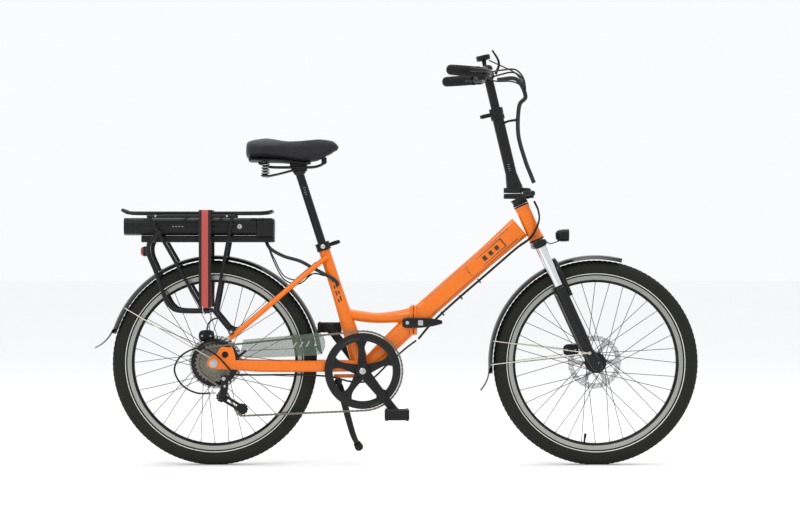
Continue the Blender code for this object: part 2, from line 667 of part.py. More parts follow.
def grip(name, side):
    """A rubber sleeve, closed at the bar's end."""
    bore = BAR_RADIUS + 2 * RUNNING
    profile = [(0, GRIP_LENGTH), (GRIP_RADIUS - 0.002, GRIP_LENGTH), (GRIP_RADIUS, GRIP_LENGTH - 0.004),
               (GRIP_RADIUS - 0.001, 0.001), (bore, 0.001), (bore, GRIP_LENGTH - 0.004), (0, GRIP_LENGTH - 0.004)]
    way = Vector((GRIP_WAY.x, side * GRIP_WAY.y, 0))
    return finish(turned(name, profile, grip_point(side, 0), way, 14), RUBBER)


def display():
    """The oval console that stands above the bar, on its own bracket."""
    centre = bar_point(-0.012, 0, 0.052, 0.058)
    case = loft("display", [(centre - STEM_UP * 0.009, 0.020, 0.017), (centre - STEM_UP * 0.006, 0.024, 0.021),
                            (centre + STEM_UP * 0.004, 0.024, 0.021), (centre + STEM_UP * 0.007, 0.020, 0.017)], 12, 2.6)
    arm = loft("arm", [(bar_point(-0.003, 0, 0.048, BAR_RADIUS + GAP), 0.005, 0.008),
                       (bar_point(-0.010, 0, 0.051, 0.052), 0.004, 0.007)], 8, 4)
    return finish(fuse(case, arm), PLASTIC)


def bar_clamp_lever():
    """The bent lever that closes the bar's clamp: forward from the clamp, then up."""
    start = bar_point(0.0235, 0, BAR_LEVER_Y, 0.006)
    points = [start, start + place(0.010, 0.028), start + place(0.006, 0.050), start + place(-0.010, 0.072)]
    return finish(pipe("bar_clamp_lever", points, 0.0045, 1), BLACK_PAINT)


def brake_lever(name, side):
    """A bent blade in front of the grip."""
    points = [grip_point(side, -0.015, 0.028), grip_point(side, 0.0, 0.040), grip_point(side, 0.030, 0.048),
              grip_point(side, 0.095, 0.050)]
    return finish(pipe(name, points, 0.0048, 1), BLACK_PAINT)


def shifter_lever():
    """The thumb lever under the shifter's pod."""
    pivot = grip_point(-1, -0.020, -0.006, -0.0265)
    tip = grip_point(-1, 0.022, -0.032, -0.0265)
    return finish(loft("shifter_lever", [(pivot, 0.010, 0.002), ((pivot + tip) / 2, 0.007, 0.002), (tip, 0.006, 0.002)],
                       8, 3), PLASTIC)


def clamp_lever(name, centre, up, out, ahead):
    """A quick-release lever beside a collar: it lies along ahead and turns about up."""
    return loft(name, [(centre - ahead * 0.004, 0.006, 0.0028), (centre, 0.007, 0.0040),
                       (centre + ahead * 0.030 + out * 0.001, 0.006, 0.0035),
                       (centre + ahead * 0.052 + out * 0.004, 0.004, 0.0020)], 8, 3, across=up)


# ---- Saddle, rack, battery, guards ----------------------------------------------------------

def seatpost():
    """The post and the clamp head that holds the saddle's rails."""
    post = rod("seatpost", seat(SEAT_TUBE_LENGTH - POST_INSERTION), seat(SEAT_TUBE_LENGTH + POST_REACH),
               POST_RADIUS, sides=16)
    head = block("head", seat(SEAT_TUBE_LENGTH + POST_REACH) + Z * 0.006, (0.042, 0.034, 0.020))
    return finish(fuse(post, head), BLACK_PAINT)


def saddle_rails():
    """Two bent rails with their end bars."""
    rails = []
    for side in (-1, 1):
        points = [place(0.140, 0.894, side * 0.034), place(0.175, 0.882, side * 0.0225),
                  place(0.285, 0.882, side * 0.0225), place(0.325, 0.892, side * 0.012)]
        rails.append(pipe("rail", through(points, 2), 0.0035, 1))
    back = rod("back", place(0.140, 0.894, -0.036), place(0.140, 0.894, 0.036), 0.005, sides=8)
    nose = rod("nose", place(0.325, 0.892, -0.014), place(0.325, 0.892, 0.014), 0.005, sides=8)
    rails = fuse(rails[0], rails[1], back, nose)
    rails.name = "saddle_rails"
    return finish(rails, STEEL)


def saddle():
    """The padded saddle: wide at the back, a narrow nose."""
    stations = [(place(0.0935, 0.925), 0.066, 0.016), (place(0.104, 0.9290), 0.088, 0.0260),
                (place(0.135, 0.9330), 0.102, 0.0300), (place(0.175, 0.9315), 0.094, 0.0290),
                (place(0.215, 0.9275), 0.066, 0.0280), (place(0.260, 0.9260), 0.042, 0.0325),
                (place(0.305, 0.9325), 0.030, 0.0315), (place(0.342, 0.9430), 0.025, 0.0225),
                (place(0.3677, 0.9380), 0.012, 0.0060)]
    return finish(loft("saddle", stations, 14, 2.6), RUBBER)


def rack_deck():
    """The tubular top of the rack with its cross bars."""
    half = [place(-0.272, 0.7545, 0.040), place(-0.255, DECK_Z + 0.001, 0.060), place(-0.225, DECK_Z, DECK_Y),
            place(0.130, DECK_Z, DECK_Y), place(0.158, DECK_Z + 0.002, 0.060), place(0.170, 0.7505, 0.040)]
    loop = half + [Vector((spot.x, -spot.y, spot.z)) for spot in reversed(half)]
    deck = pipe("rack_deck", loop, DECK_TUBE, 2, cyclic=True)
    bars = [rod("bar", place(x, DECK_Z, -DECK_Y), place(x, DECK_Z, DECK_Y), 0.004, sides=8)
            for x in (-0.200, -0.085, 0.020, 0.115)]
    return finish(fuse(deck, *bars), BLACK_PAINT)


def rack_side(name, side):
    """The rear hoop and the two struts that stand on the dropout's eyelet."""
    y = side * RACK_SIDE_Y
    hoop = [place(-0.155, 0.690, y), place(-0.1865, 0.660, y), place(-0.1905, 0.625, y), place(-0.171, 0.576, y),
            place(-0.1446, 0.502, y), place(-0.126, 0.470, y), place(-0.097, 0.457, y), place(-0.010, 0.456, y)]
    base = pipe(name, through(hoop, 2), RACK_TUBE, 2)
    brace = rod("brace", place(-0.189, 0.735, y), place(-0.030, 0.458, y), 0.0050, sides=8)
    front = rod("front", place(0.056, 0.735, y), place(0.004, 0.456, y), 0.0050, sides=8)
    foot = rod("foot", place(0.000, 0.458, y), place(0.053, 0.394, y), 0.0055, sides=8)
    top = rod("top", place(-0.196, 0.7360, y), place(0.064, 0.7360, y), 0.0050, sides=8)
    return finish(fuse(base, brace, front, foot, top), BLACK_PAINT)


def battery_dock():
    """The rail under the battery, with the controller's box at its front."""
    rail = block("battery_dock", place(-0.0195, 0.669, 0), (0.393, 0.084, 0.020))
    box = loft("box", [(place(0.1245, 0.7010), 0.055, 0.0290), (place(0.130, 0.7010), 0.057, 0.0305),
                       (place(0.170, 0.7010), 0.057, 0.0305), (place(0.1770, 0.7000), 0.050, 0.0260)], 12, 5)
    return finish(fuse(rail, box), PLASTIC)


def battery():
    """The rounded battery case, which slides out to the rear."""
    middle = (BATTERY_LOW + BATTERY_HIGH) / 2
    half = (BATTERY_HIGH - BATTERY_LOW) / 2
    return finish(loft("battery", [(place(-0.2655, middle), BATTERY_HALF - 0.008, half - 0.008),
                                   (place(-0.257, middle), BATTERY_HALF, half),
                                   (place(0.118, middle), BATTERY_HALF, half),
                                   (place(0.1236, middle), BATTERY_HALF - 0.005, half - 0.005)], 16, 4), PLASTIC)


def rear_light():
    """The tail lamp on its bracket under the rack."""
    lamp = block("rear_light", place(-0.208, 0.632, 0), (0.024, 0.056, 0.030))
    arm = block("arm", place(-0.201, 0.652, 0), (0.004, 0.030, 0.0132))
    return finish(fuse(lamp, arm), RED)


def luggage_strap():
    """A flat elastic strap over the rack, down to both lower corners."""
    x = -0.0247
    half = [place(x, 0.466, -0.0884), place(x, 0.600, -0.0884), place(x, 0.741, -0.0884),
            place(x, 0.7515, -0.0810), place(x, 0.7534, -0.0700), place(x, 0.7534, -0.040)]
    other = [Vector((spot.x, -spot.y, spot.z)) for spot in reversed(half)]
    return finish(loft("luggage_strap", [(spot, 0.018, 0.0010) for spot in half + other], 6, 6, across=X), RED)


def guard(name, axle, start, end, flap):
    """A mudguard: a curved strip around the tyre with a plain flap at its lower end.

    The flap's points are (how far it stands outside the strip, its angle in degrees).
    """
    profile = [(GUARD_INNER - 0.008, GUARD_HALF), (GUARD_INNER + 0.001, 0.022), (GUARD_INNER + 0.003, 0.009),
               (GUARD_INNER + 0.003, -0.009), (GUARD_INNER + 0.001, -0.022), (GUARD_INNER - 0.008, -GUARD_HALF)]
    mesh = bpy.data.meshes.new(name)
    mesh.from_pydata([(radius, 0, y) for radius, y in profile], [(i, i + 1) for i in range(5)], [])
    shell = add_object(name, mesh)
    first = Vector((math.cos(start), 0, math.sin(start)))
    shell.matrix_world = basis(axle, -Y, first)
    steps = max(8, int((end - start) / math.radians(8)))
    screw = shell.modifiers.new("sweep", "SCREW")
    screw.axis = "Z"
    screw.angle = end - start
    screw.steps = steps
    screw.render_steps = steps
    screw.merge_threshold = 0.00001
    wall = shell.modifiers.new("wall", "SOLIDIFY")
    wall.thickness = GUARD_THICK
    wall.offset = 0
    spots = [(GUARD_INNER + 0.002 + out, math.radians(turn)) for out, turn in flap]
    spots = [axle + Vector((math.cos(turn), 0, math.sin(turn))) * reach for reach, turn in spots]
    tail = loft("tail", [(spot, GUARD_HALF - 0.004, 0.0016) for spot in spots], 8, 5)
    return finish(fuse(shell, tail), PLASTIC)


def headlight():
    """The front lamp and the bracket that stands on the crown."""
    lamp = loft("headlight", [(place(WHEELBASE - 0.1150, 0.6780), 0.013, 0.0135),
                              (place(WHEELBASE - 0.1080, 0.6785), 0.019, 0.0170),
                              (place(WHEELBASE - 0.0800, 0.6800), 0.020, 0.0180),
                              (place(WHEELBASE - 0.0770, 0.6800), 0.019, 0.0170)], 12, 3)
    front = CROWN_WIDTH / 2 + GAP
    arm = pipe("arm", [place(WHEELBASE - 0.106, 0.668), place(WHEELBASE - 0.120, 0.660),
                       steer(HEAD_LOW - 0.017, 0, front + 0.010), steer(HEAD_LOW - 0.017, 0, front)], 0.003, 1)
    return finish(fuse(lamp, arm), PLASTIC)


# ---- Drive train ----------------------------------------------------------------------------

def pitch_radius(teeth):
    """Radius of a sprocket at the chain's pins."""
    return CHAIN_PITCH / (2 * math.sin(math.pi / teeth))


def chain_points():
    """The chain's run round the sprocket, the two pulleys and the chainring, with each point's inward way.

    Wheels are (centre x, centre z, signed radius), positive where the chain runs round counter-clockwise.
    A straight run leaves and meets two wheels on their common tangent.
    """
    wheels = [(0.0, AXLE_Z, pitch_radius(SPROCKET_TEETH)), (*GUIDE_PULLEY, -PULLEY_PITCH_RADIUS),
              (*TENSION_PULLEY, PULLEY_PITCH_RADIUS), (BRACKET_X, BRACKET_Z, pitch_radius(CHAINRING_TEETH))]
    ways = []
    for first, second in zip(wheels, wheels[1:] + wheels[:1]):
        line = Vector((second[0] - first[0], second[1] - first[1]))
        change = second[2] - first[2]
        run = math.sqrt(line.length_squared - change * change)
        ways.append((run * line - change * Vector((-line.y, line.x))) / line.length_squared)
    found = []
    for index, (x, z, radius) in enumerate(wheels):
        arrive = math.atan2(ways[index - 1].y, ways[index - 1].x)
        leave = math.atan2(ways[index].y, ways[index].x)
        turn = (leave - arrive) % (2 * math.pi) if radius > 0 else -((arrive - leave) % (2 * math.pi))
        steps = max(4, int(abs(turn) / math.radians(15)))
        for step in range(steps + 1):
            heading = arrive + turn * step / steps
            inward = Vector((-math.sin(heading), math.cos(heading)))
            found.append((Vector((x, z)) - radius * inward, inward))
    return found


def chain():
    """The chain as one closed band with the sprockets' and pulleys' space inside it."""
    curve = bpy.data.curves.new("chain", "CURVE")
    curve.dimensions = "2D"
    curve.fill_mode = "BOTH"
    curve.extrude = CHAIN_HALF_WIDTH
    for shift in (-CHAIN_HALF_HEIGHT, CHAIN_HALF_HEIGHT):
        spots = [point + inward * shift for point, inward in chain_points()]
        spline = curve.splines.new("POLY")
        spline.points.add(len(spots) - 1)
        for point, spot in zip(spline.points, spots):
            point.co = (spot.x, spot.y, 0, 1)
        spline.use_cyclic_u = True
    obj = add_object("chain", curve)
    obj.matrix_world = Matrix.Translation(Y * CHAIN_PLANE) @ Matrix.Rotation(math.pi / 2, 4, "X")
    bpy.context.view_layer.update()
    return finish(solid(obj), STEEL)


def freewheel():
    """The stepped cluster of sprockets, narrowed where the chain lies."""
    under = pitch_radius(SPROCKET_TEETH) - CHAIN_HALF_HEIGHT - 0.0010
    edge = CHAIN_PLANE + CHAIN_HALF_WIDTH + GAP
    far = CHAIN_PLANE - CHAIN_HALF_WIDTH - GAP
    profile = [(0.0572, edge + 0.0016), (0.0572, edge), (under, edge), (under, far), (0.0446, far),
               (0.0446, far - 0.0014), (0.0283, -0.0655), (0.0140, -0.0665), (0.0070, -0.0665),
               (0.0070, edge + 0.0016)]
    return finish(turned("freewheel", profile, REAR_AXLE, steps=22), STEEL)


def derailleur():
    """Body, cage plates and the space of the two guide wheels, as one piece on its hanger."""
    guide = place(*GUIDE_PULLEY)
    tension = place(*TENSION_PULLEY)
    plates = []
    for y in (CHAIN_PLANE + 0.0056, CHAIN_PLANE - 0.0056):
        plates.append(loft("derailleur", [(guide + Y * y + place(-0.010, 0.006), 0.0006, 0.007),
                                          (guide + Y * y, 0.0006, 0.012), (tension + Y * y, 0.0006, 0.012),
                                          (tension + Y * y + place(0.010, -0.006), 0.0006, 0.007)], 6, 5))
    pulley_radius = PULLEY_PITCH_RADIUS - CHAIN_HALF_HEIGHT - 0.0012
    wheels = [rod("wheel", spot + Y * (CHAIN_PLANE - 0.0058), spot + Y * (CHAIN_PLANE + 0.0058), pulley_radius, sides=14)
              for spot in (guide, tension)]
    arm = loft("arm", [(guide + Y * (CHAIN_PLANE - 0.0058), 0.010, 0.010), (guide + Y * (CHAIN_PLANE - 0.0120), 0.010, 0.010),
                       (place(0.030, 0.222, -0.068), 0.012, 0.011),
                       (place(0.034, 0.246, -0.082), 0.011, 0.011), (place(0.031, 0.266, -0.0845), 0.008, 0.010)],
               8, 3, across=X)
    return finish(fuse(plates[0], wheels[0], wheels[1], plates[1], arm), BLACK_PAINT)


def crank_end(side):
    """The middle of a pedal's eye, seen along Y."""
    angle = CRANK_ANGLE if side < 0 else CRANK_ANGLE + math.pi
    return BRACKET + Vector((CRANK_LENGTH * math.cos(angle), 0, CRANK_LENGTH * math.sin(angle)))


def crank(name, side):
    """A crank arm with its pedal axle; the left one carries the spindle, the right one the spider."""
    end = crank_end(side)
    arm = loft(name, [(BRACKET + Y * side * 0.0625 - (end - BRACKET) * 0.12, 0.0060, 0.012),
                      (BRACKET + Y * side * 0.0625, 0.0065, 0.018),
                      (BRACKET.lerp(end, 0.5) + Y * side * 0.0680, 0.0062, 0.0125),
                      (end + Y * side * 0.0745, 0.0065, 0.0125),
                      (end + Y * side * 0.0750 + (end - BRACKET) * 0.07, 0.0060, 0.008)], 12, 3)
    axle = rod("axle", end + Y * side * 0.076, end + Y * side * 0.165, 0.0045, sides=10)
    if side > 0:
        spindle = rod("spindle", BRACKET - Y * 0.0685, BRACKET + Y * 0.0640, SPINDLE_RADIUS, sides=16)
        return finish(fuse(arm, axle, spindle), BLACK_PAINT)
    hub = rod("hub", BRACKET - Y * 0.0462, BRACKET - Y * 0.0640, 0.024, sides=16)
    arms = []
    for index in range(5):
        angle = CRANK_ANGLE + 2 * math.pi * index / 5
        way = Vector((math.cos(angle), 0, math.sin(angle)))
        near, far = BRACKET + way * 0.012 - Y * 0.0476, BRACKET + way * 0.086 - Y * 0.0476
        arms.append(loft("spider", [(near, 0.0012, 0.011), (far, 0.0012, 0.007)], 6, 5))
    bore = rod("bore", BRACKET - Y * 0.02, BRACKET - Y * 0.09, SPINDLE_RADIUS + RUNNING, sides=16)
    return finish(carve(fuse(arm, hub, *arms, axle), bore), BLACK_PAINT)


def pedal(name, side):
    """A platform pedal that turns on its axle."""
    end = crank_end(side)
    platform = loft(name, [(end + Y * side * 0.0835, 0.030, 0.014), (end + Y * side * 0.0880, 0.035, 0.017),
                           (end + Y * side * 0.1690, 0.035, 0.017), (end + Y * side * 0.1735, 0.030, 0.014)],
                    10, 5, across=X)
    bore = rod("bore", end + Y * side * 0.08, end + Y * side * 0.167, 0.0045 + RUNNING, sides=10)
    return finish(carve(platform, bore), PLASTIC)


def kickstand():
    """A bent side stand that swings back and up."""
    head = rod("kickstand", place(0.366, 0.2455, 0.004), place(0.366, 0.2455, 0.026), 0.0116, sides=16)
    points = [place(0.366, 0.243, 0.0150), place(0.370, 0.225, 0.0200), place(0.392, GROUND + 0.130, 0.0400),
              place(0.410, GROUND + 0.078, 0.0620), place(0.424, GROUND + 0.052, 0.0920)]
    leg = pipe("leg", through(points, 2), 0.0068, 2)
    foot = rod("foot", place(0.4215, GROUND + 0.057, 0.0860), place(0.429, GROUND + 0.041, 0.1060),
               0.0095, 0.0115, sides=10)
    return finish(fuse(head, leg, foot), BLACK_PAINT)


# ---- Cables ---------------------------------------------------------------------------------

def cable(name, points, radius, spans=2):
    """A cable whose whole route is held by clips."""
    return finish(pipe(name, through(points, spans), radius, 1), RUBBER)


def stem_cables():
    """The sleeve of control cables in front of the handlebar post."""
    points = [bar_point(0.028, 0, -0.010, -0.012), bar_point(0.085, 0, 0, -0.010), bar_point(0.112, 0, 0, -0.060),
              stem(0.250, 0, 0.070), stem(0.170, 0, 0.048), stem(0.090, 0, 0.050), stem(0.045, 0, 0.056),
              stem(0.018, 0, 0.060)]
    return cable("stem_cables", points, 0.0070)


def down_tube_cables():
    """Cables from the head of the frame along the underside of the beam."""
    top = steer(HEAD_HIGH)
    points = [top + place(0.0392, 0.0120), top + place(0.0512, -0.0160, -0.006),
              top + place(0.0512, -0.0500, -0.024), top + place(0.0272, -0.0950, -0.030),
              top + place(-0.0138, -0.1270, -0.012), beam_point(0.646, 0.053, -0.006),
              beam_point(0.215, 0.0503, -0.006), beam_point(0, 0.055, -0.010), place(0.6040, 0.374, -0.016)]
    return cable("down_tube_cables", points, 0.0040)


def rear_cables():
    """Cables from the hinge, under the bracket shell and along the drive-side stay to the derailleur."""
    points = [place(0.5975, 0.3680, -0.017), place(0.566, 0.345, -0.030), place(0.515, 0.300, -0.0320),
              place(0.460, 0.251, -0.0300), place(0.405, 0.247, -0.0300), place(0.340, 0.262, -0.0355),
              place(0.240, 0.2680, -0.0500), place(0.110, 0.2680, -0.0640), place(0.062, 0.2740, -0.0840),
              place(0.010, 0.3260, -0.0880), place(-0.040, 0.3480, -0.0880), place(-0.092, 0.3270, -0.0880),
              place(-0.114, 0.2850, -0.0880), place(-0.092, 0.2400, -0.0880), place(-0.048, 0.2160, -0.0880),
              place(0.005, 0.2160, -0.0880)]
    return cable("rear_cables", points, 0.0030)


# ---- The whole bicycle ----------------------------------------------------------------------

def build_rear_half():
    """The root body and what turns or slides on it."""
    fixed = [main_frame_rear(), chainstay("chainstay_left", 1), chainstay("chainstay_right", -1),
             seatstay("seatstay_left", 1), seatstay("seatstay_right", -1)]
    collar_centre = seat(SEAT_TUBE_LENGTH - 0.013)
    collar = turned("seat_clamp", [(0.0216, 0.012), (0.0216, -0.012), (SEAT_TUBE_RADIUS + 2 * GAP, -0.012),
                                   (SEAT_TUBE_RADIUS + 2 * GAP, 0.012)], collar_centre, SEAT_UP, 20)
    fixed += [finish(collar, BLACK_PAINT), rack_deck(), rack_side("rack_side_left", 1),
              rack_side("rack_side_right", -1), battery_dock(), rear_light(), luggage_strap()]
    fixed.append(guard("rear_mudguard", REAR_AXLE, math.radians(6), math.radians(165),
                       [(0.0011, 161.7), (0.008, 166.5), (0.022, 170.2), (0.0417, 173.0)]))
    fixed.append(caliper("rear_brake_caliper", REAR_AXLE + place(-0.028, 0.078), 0.046, REAR_AXLE, 0.012))
    fixed += [derailleur(), chain(), rear_cables()]
    root = body("rear_frame", (0, 0, 0), None, fixed)
    body("battery_slide", place(-0.07, 0.705), root, [battery()])
    wheel = [tyre("rear_tyre", REAR_AXLE), rim("rear_rim", REAR_AXLE),
             spokes("rear_spokes", REAR_AXLE, MOTOR_RADIUS + 0.0012, 0.0215, 0.0195, 1),
             hub_motor(), rotor("rear_brake_rotor", REAR_AXLE, 0.046, 0.0310)]
    body("rear_wheel", REAR_AXLE, root, wheel)
    body("freewheel_hub", REAR_AXLE, root, [freewheel()])
    ring = band("chainring", pitch_radius(CHAINRING_TEETH) - CHAIN_HALF_HEIGHT - 0.0014, 0.018, 0.0014, BRACKET, 30,
                CHAIN_PLANE)
    disc = band("chain_guard_ring", 0.1125, 0.024, 0.0014, BRACKET, 30, -0.0510)
    cranks = body("crankset", BRACKET, root, [finish(ring, BLACK_PAINT), finish(disc, PLASTIC),
                                              crank("right_crank", -1), crank("left_crank", 1)])
    body("right_pedal_turn", crank_end(-1), cranks, [pedal("right_pedal", -1)])
    body("left_pedal_turn", crank_end(1), cranks, [pedal("left_pedal", 1)])
    body("stand_swing", place(0.366, 0.2455, 0.015), root, [kickstand()])
    seat_body = body("seat_slide", seat(SEAT_TUBE_LENGTH), root, [seatpost(), saddle_rails(), saddle()])
    lever_centre = collar_centre + Y * 0.0272
    lever = finish(clamp_lever("seat_clamp_lever", lever_centre, SEAT_UP, Y, SEAT_AHEAD), BLACK_PAINT)
    body("seat_lever_turn", lever_centre, root, [lever])
    body("frame_latch_turn", place(0.563, 0.421, -PLATE_HALF - 0.010), root, [frame_latch()])
    return root, seat_body


def build_front_half(root):
    """The folding front half: beam, fork, wheel, post and handlebar."""
    front = body("front_frame", place(HINGE_X, 0.4275, HINGE_Y), root, [main_frame_front(), down_tube_cables()])
    fork = body("fork", steer(HEAD_HIGH), front, [fork_crown(), headlight()])
    mudguard = guard("front_mudguard", FRONT_AXLE, math.radians(75), math.radians(187),
                     [(0.0005, 183.1), (0.005, 187.1), (0.0168, 190.7), (0.0349, 193.6)])
    grip_on_disc = caliper("front_brake_caliper", steer(0.062, 0, -0.040), 0.039, FRONT_AXLE, 0.0090)
    lowers = body("fork_slide", steer(LEG_TOP), fork, [fork_lowers(), mudguard, grip_on_disc])
    wheel = [tyre("front_tyre", FRONT_AXLE), rim("front_rim", FRONT_AXLE),
             spokes("front_spokes", FRONT_AXLE, FRONT_FLANGE_RADIUS + 0.0018, 0.0250, 0.0250, 3),
             front_hub(), rotor("front_brake_rotor", FRONT_AXLE, 0.039, 0.0170)]
    body("front_wheel", FRONT_AXLE, lowers, wheel)
    post = body("stem", stem_pin(0), fork, [stem_post_lower(), stem_cables()])
    latch_centre = steer(STEM_HINGE) - STEM_OUT * 0.0385 + Z * 0.0100
    latch = clamp_lever("stem_latch", latch_centre, Z, -STEM_OUT, STEM_FOLD_AXIS)
    body("stem_latch_turn", latch_centre, post, [finish(latch, BLACK_PAINT)])
    lever_centre = stem(STEM_COLLAR - 0.013, -0.0262)
    lever = clamp_lever("post_clamp_lever", lever_centre, STEM_UP, -Y, -STEM_AHEAD)
    body("post_lever_turn", lever_centre, post, [finish(lever, BLACK_PAINT)])
    bar = body("handlebar_slide", stem(STEM_COLLAR), post, [handlebar(), grip("grip_left", 1), grip("grip_right", -1),
                                                          display()])
    body("bar_lever_turn", bar_point(0.0235, 0, BAR_LEVER_Y, 0.006), bar, [bar_clamp_lever()])
    for side, word in ((1, "left"), (-1, "right")):
        body("lever_turn_" + word, grip_point(side, -0.015, 0.028), bar, [brake_lever("brake_lever_" + word, side)])
    body("shifter_turn", grip_point(-1, -0.020, -0.006, -0.0265), bar, [shifter_lever()])


def stand_on_origin(root):
    """Move the whole bicycle so that the origin is the bottom centre of its box."""
    bpy.context.view_layer.update()
    graph = bpy.context.evaluated_depsgraph_get()
    corners = []
    for obj in bpy.data.objects:
        if obj.type != "EMPTY":
            piece = obj.evaluated_get(graph)
            corners += [obj.matrix_world @ vertex.co for vertex in piece.to_mesh().vertices]
            piece.to_mesh_clear()
    low = [min(corner[axis] for corner in corners) for axis in range(3)]
    high = [max(corner[axis] for corner in corners) for axis in range(3)]
    root.location = (-(low[0] + high[0]) / 2, -(low[1] + high[1]) / 2, -low[2])


def main():
    """Build the bicycle."""
    clear_scene()
    collection = bpy.data.collections.new("folding_bicycle")
    bpy.context.scene.collection.children.link(collection)
    root, _ = build_rear_half()
    build_front_half(root)
    stand_on_origin(root)


main()
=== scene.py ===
"""Looks of an electric folding bicycle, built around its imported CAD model.

Every new piece is a surface worked out with numpy and laid over the CAD node that it stands for.
Lengths are in millimetres from the rear axle along X and from the ground along Z, as a frame
builder draws a bicycle, and the Bench class turns them into the model's own metres.
"""

from __future__ import annotations

import logging
import math
from dataclasses import dataclass, field
from enum import Enum

import bmesh
import bpy
import numpy as np
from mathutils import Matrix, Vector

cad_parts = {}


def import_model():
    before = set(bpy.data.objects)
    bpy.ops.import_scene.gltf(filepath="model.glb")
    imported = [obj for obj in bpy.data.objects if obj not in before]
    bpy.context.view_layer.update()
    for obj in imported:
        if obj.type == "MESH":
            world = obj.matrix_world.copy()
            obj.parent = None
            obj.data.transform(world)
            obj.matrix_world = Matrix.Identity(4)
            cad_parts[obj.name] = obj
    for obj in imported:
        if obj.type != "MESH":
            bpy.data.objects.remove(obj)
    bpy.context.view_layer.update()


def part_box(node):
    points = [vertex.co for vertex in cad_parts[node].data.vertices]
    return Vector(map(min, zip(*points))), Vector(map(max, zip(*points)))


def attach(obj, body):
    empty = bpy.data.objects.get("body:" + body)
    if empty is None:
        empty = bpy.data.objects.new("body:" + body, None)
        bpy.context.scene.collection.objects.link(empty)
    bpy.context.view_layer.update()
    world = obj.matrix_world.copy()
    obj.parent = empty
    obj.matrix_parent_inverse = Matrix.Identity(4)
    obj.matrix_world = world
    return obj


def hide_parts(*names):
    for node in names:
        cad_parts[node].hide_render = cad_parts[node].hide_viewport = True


log = logging.getLogger("bicycle")
MM = 0.001
X, Y, Z = np.eye(3)
Array = np.ndarray


# ---- Surfaces -------------------------------------------------------------------------------


@dataclass
class Surface:
    """Closed skins as points, four-sided faces and flat many-sided caps, in metres."""

    points: Array
    quads: Array
    caps: list[Array] = field(default_factory=list)
    uv: Array | None = None

    @staticmethod
    def join(*parts: Surface) -> Surface:
        """Put several skins into one.

        Args:
            parts: the skins, which may stand in each other.

        Returns:
            One surface that holds them all.
        """
        starts = np.cumsum([0] + [len(part.points) for part in parts])
        caps = [cap + start for part, start in zip(parts, starts) for cap in part.caps]
        uv = [np.zeros((len(p.points), 2)) if p.uv is None else p.uv for p in parts]
        return Surface(
            np.vstack([part.points for part in parts]),
            np.vstack([part.quads + start for part, start in zip(parts, starts)]),
            caps,
            np.vstack(uv),
        )

    def outward(self) -> Surface:
        """Turn the faces over if the skin encloses a negative volume.

        The volume is the sum of a . (b x c) over its triangles, a sixth of it in fact.

        Returns:
            The same surface, facing out.
        """
        a, b, c, d = (self.points[self.quads[:, i]] for i in range(4))
        volume = np.einsum("ij,ij->", a, np.cross(b, c)) + np.einsum("ij,ij->", a, np.cross(c, d))
        for cap in self.caps:
            ring = self.points[cap]
            volume += (np.cross(ring[1:-1], ring[2:]) @ ring[0]).sum()
        if volume < 0:
            self.quads = self.quads[:, ::-1]
            self.caps = [cap[::-1] for cap in self.caps]
        return self


def grid(rows: Array, loop_rows: bool = False, loop_columns: bool = True, capped: bool = True) -> Surface:
    """Make a skin from points on a grid: face (i, j) joins rows i, i + 1 and columns j, j + 1.

    Args:
        rows: points as (row, column, 3), in metres.
        loop_rows: the last row joins the first.
        loop_columns: the last column joins the first.
        capped: flat faces close the first and last rows.

    Returns:
        The skin, whose UV map holds the lengths in metres along the rows and round the middle one.
    """
    count, wide = rows.shape[:2]
    i = np.arange(count if loop_rows else count - 1)[:, None]
    j = np.arange(wide if loop_columns else wide - 1)[None, :]
    ahead, beside = (i + 1) % count, (j + 1) % wide
    quads = np.stack(
        [i * wide + j, i * wide + beside, ahead * wide + beside, ahead * wide + j], -1
    )
    caps = []
    if capped and not loop_rows:
        caps = [np.arange(wide)[::-1], (count - 1) * wide + np.arange(wide)]
    along = np.linalg.norm(np.diff(rows.mean(1), axis=0), axis=1).cumsum()
    if loop_rows:
        along = np.linalg.norm(np.diff(rows[:, 0], axis=0), axis=1).cumsum()
    around = np.linalg.norm(np.diff(rows[count // 2], axis=0), axis=1).cumsum()
    u, v = np.concatenate([[0], along]), np.concatenate([[0], around])
    uv = np.stack(np.meshgrid(u, v, indexing="ij"), -1).reshape(-1, 2)
    return Surface(rows.reshape(-1, 3), quads.reshape(-1, 4), caps, uv).outward()


def curve(points: Array, spans: int = 8) -> Array:
    """Draw a Catmull-Rom curve through points, every column alike.

    p(t) = (2b + (c - a)t + (2a - 5b + 4c - d)t^2 + (3b - a - 3c + d)t^3) / 2 between b and c.

    Args:
        points: (n, k) values.
        spans: steps between two points.

    Returns:
        ((n - 1) * spans + 1, k) values.
    """
    points = np.asarray(points, float)
    padded = np.vstack([2 * points[0] - points[1], points, 2 * points[-1] - points[-2]])
    a, b, c, d = (padded[k : len(padded) - 3 + k, None] for k in range(4))
    t = (np.arange(spans) / spans)[None, :, None]
    bend = (2 * a - 5 * b + 4 * c - d) * t**2 + (3 * b - a - 3 * c + d) * t**3
    spots = (2 * b + (c - a) * t + bend) / 2
    return np.vstack([spots.reshape(-1, points.shape[1]), points[-1]])


def unit(vector: Array) -> Array:
    """Scale a vector, or each row, to length one."""
    vector = np.asarray(vector, float)
    return vector / np.maximum(np.linalg.norm(vector, axis=-1, keepdims=True), 1e-12)


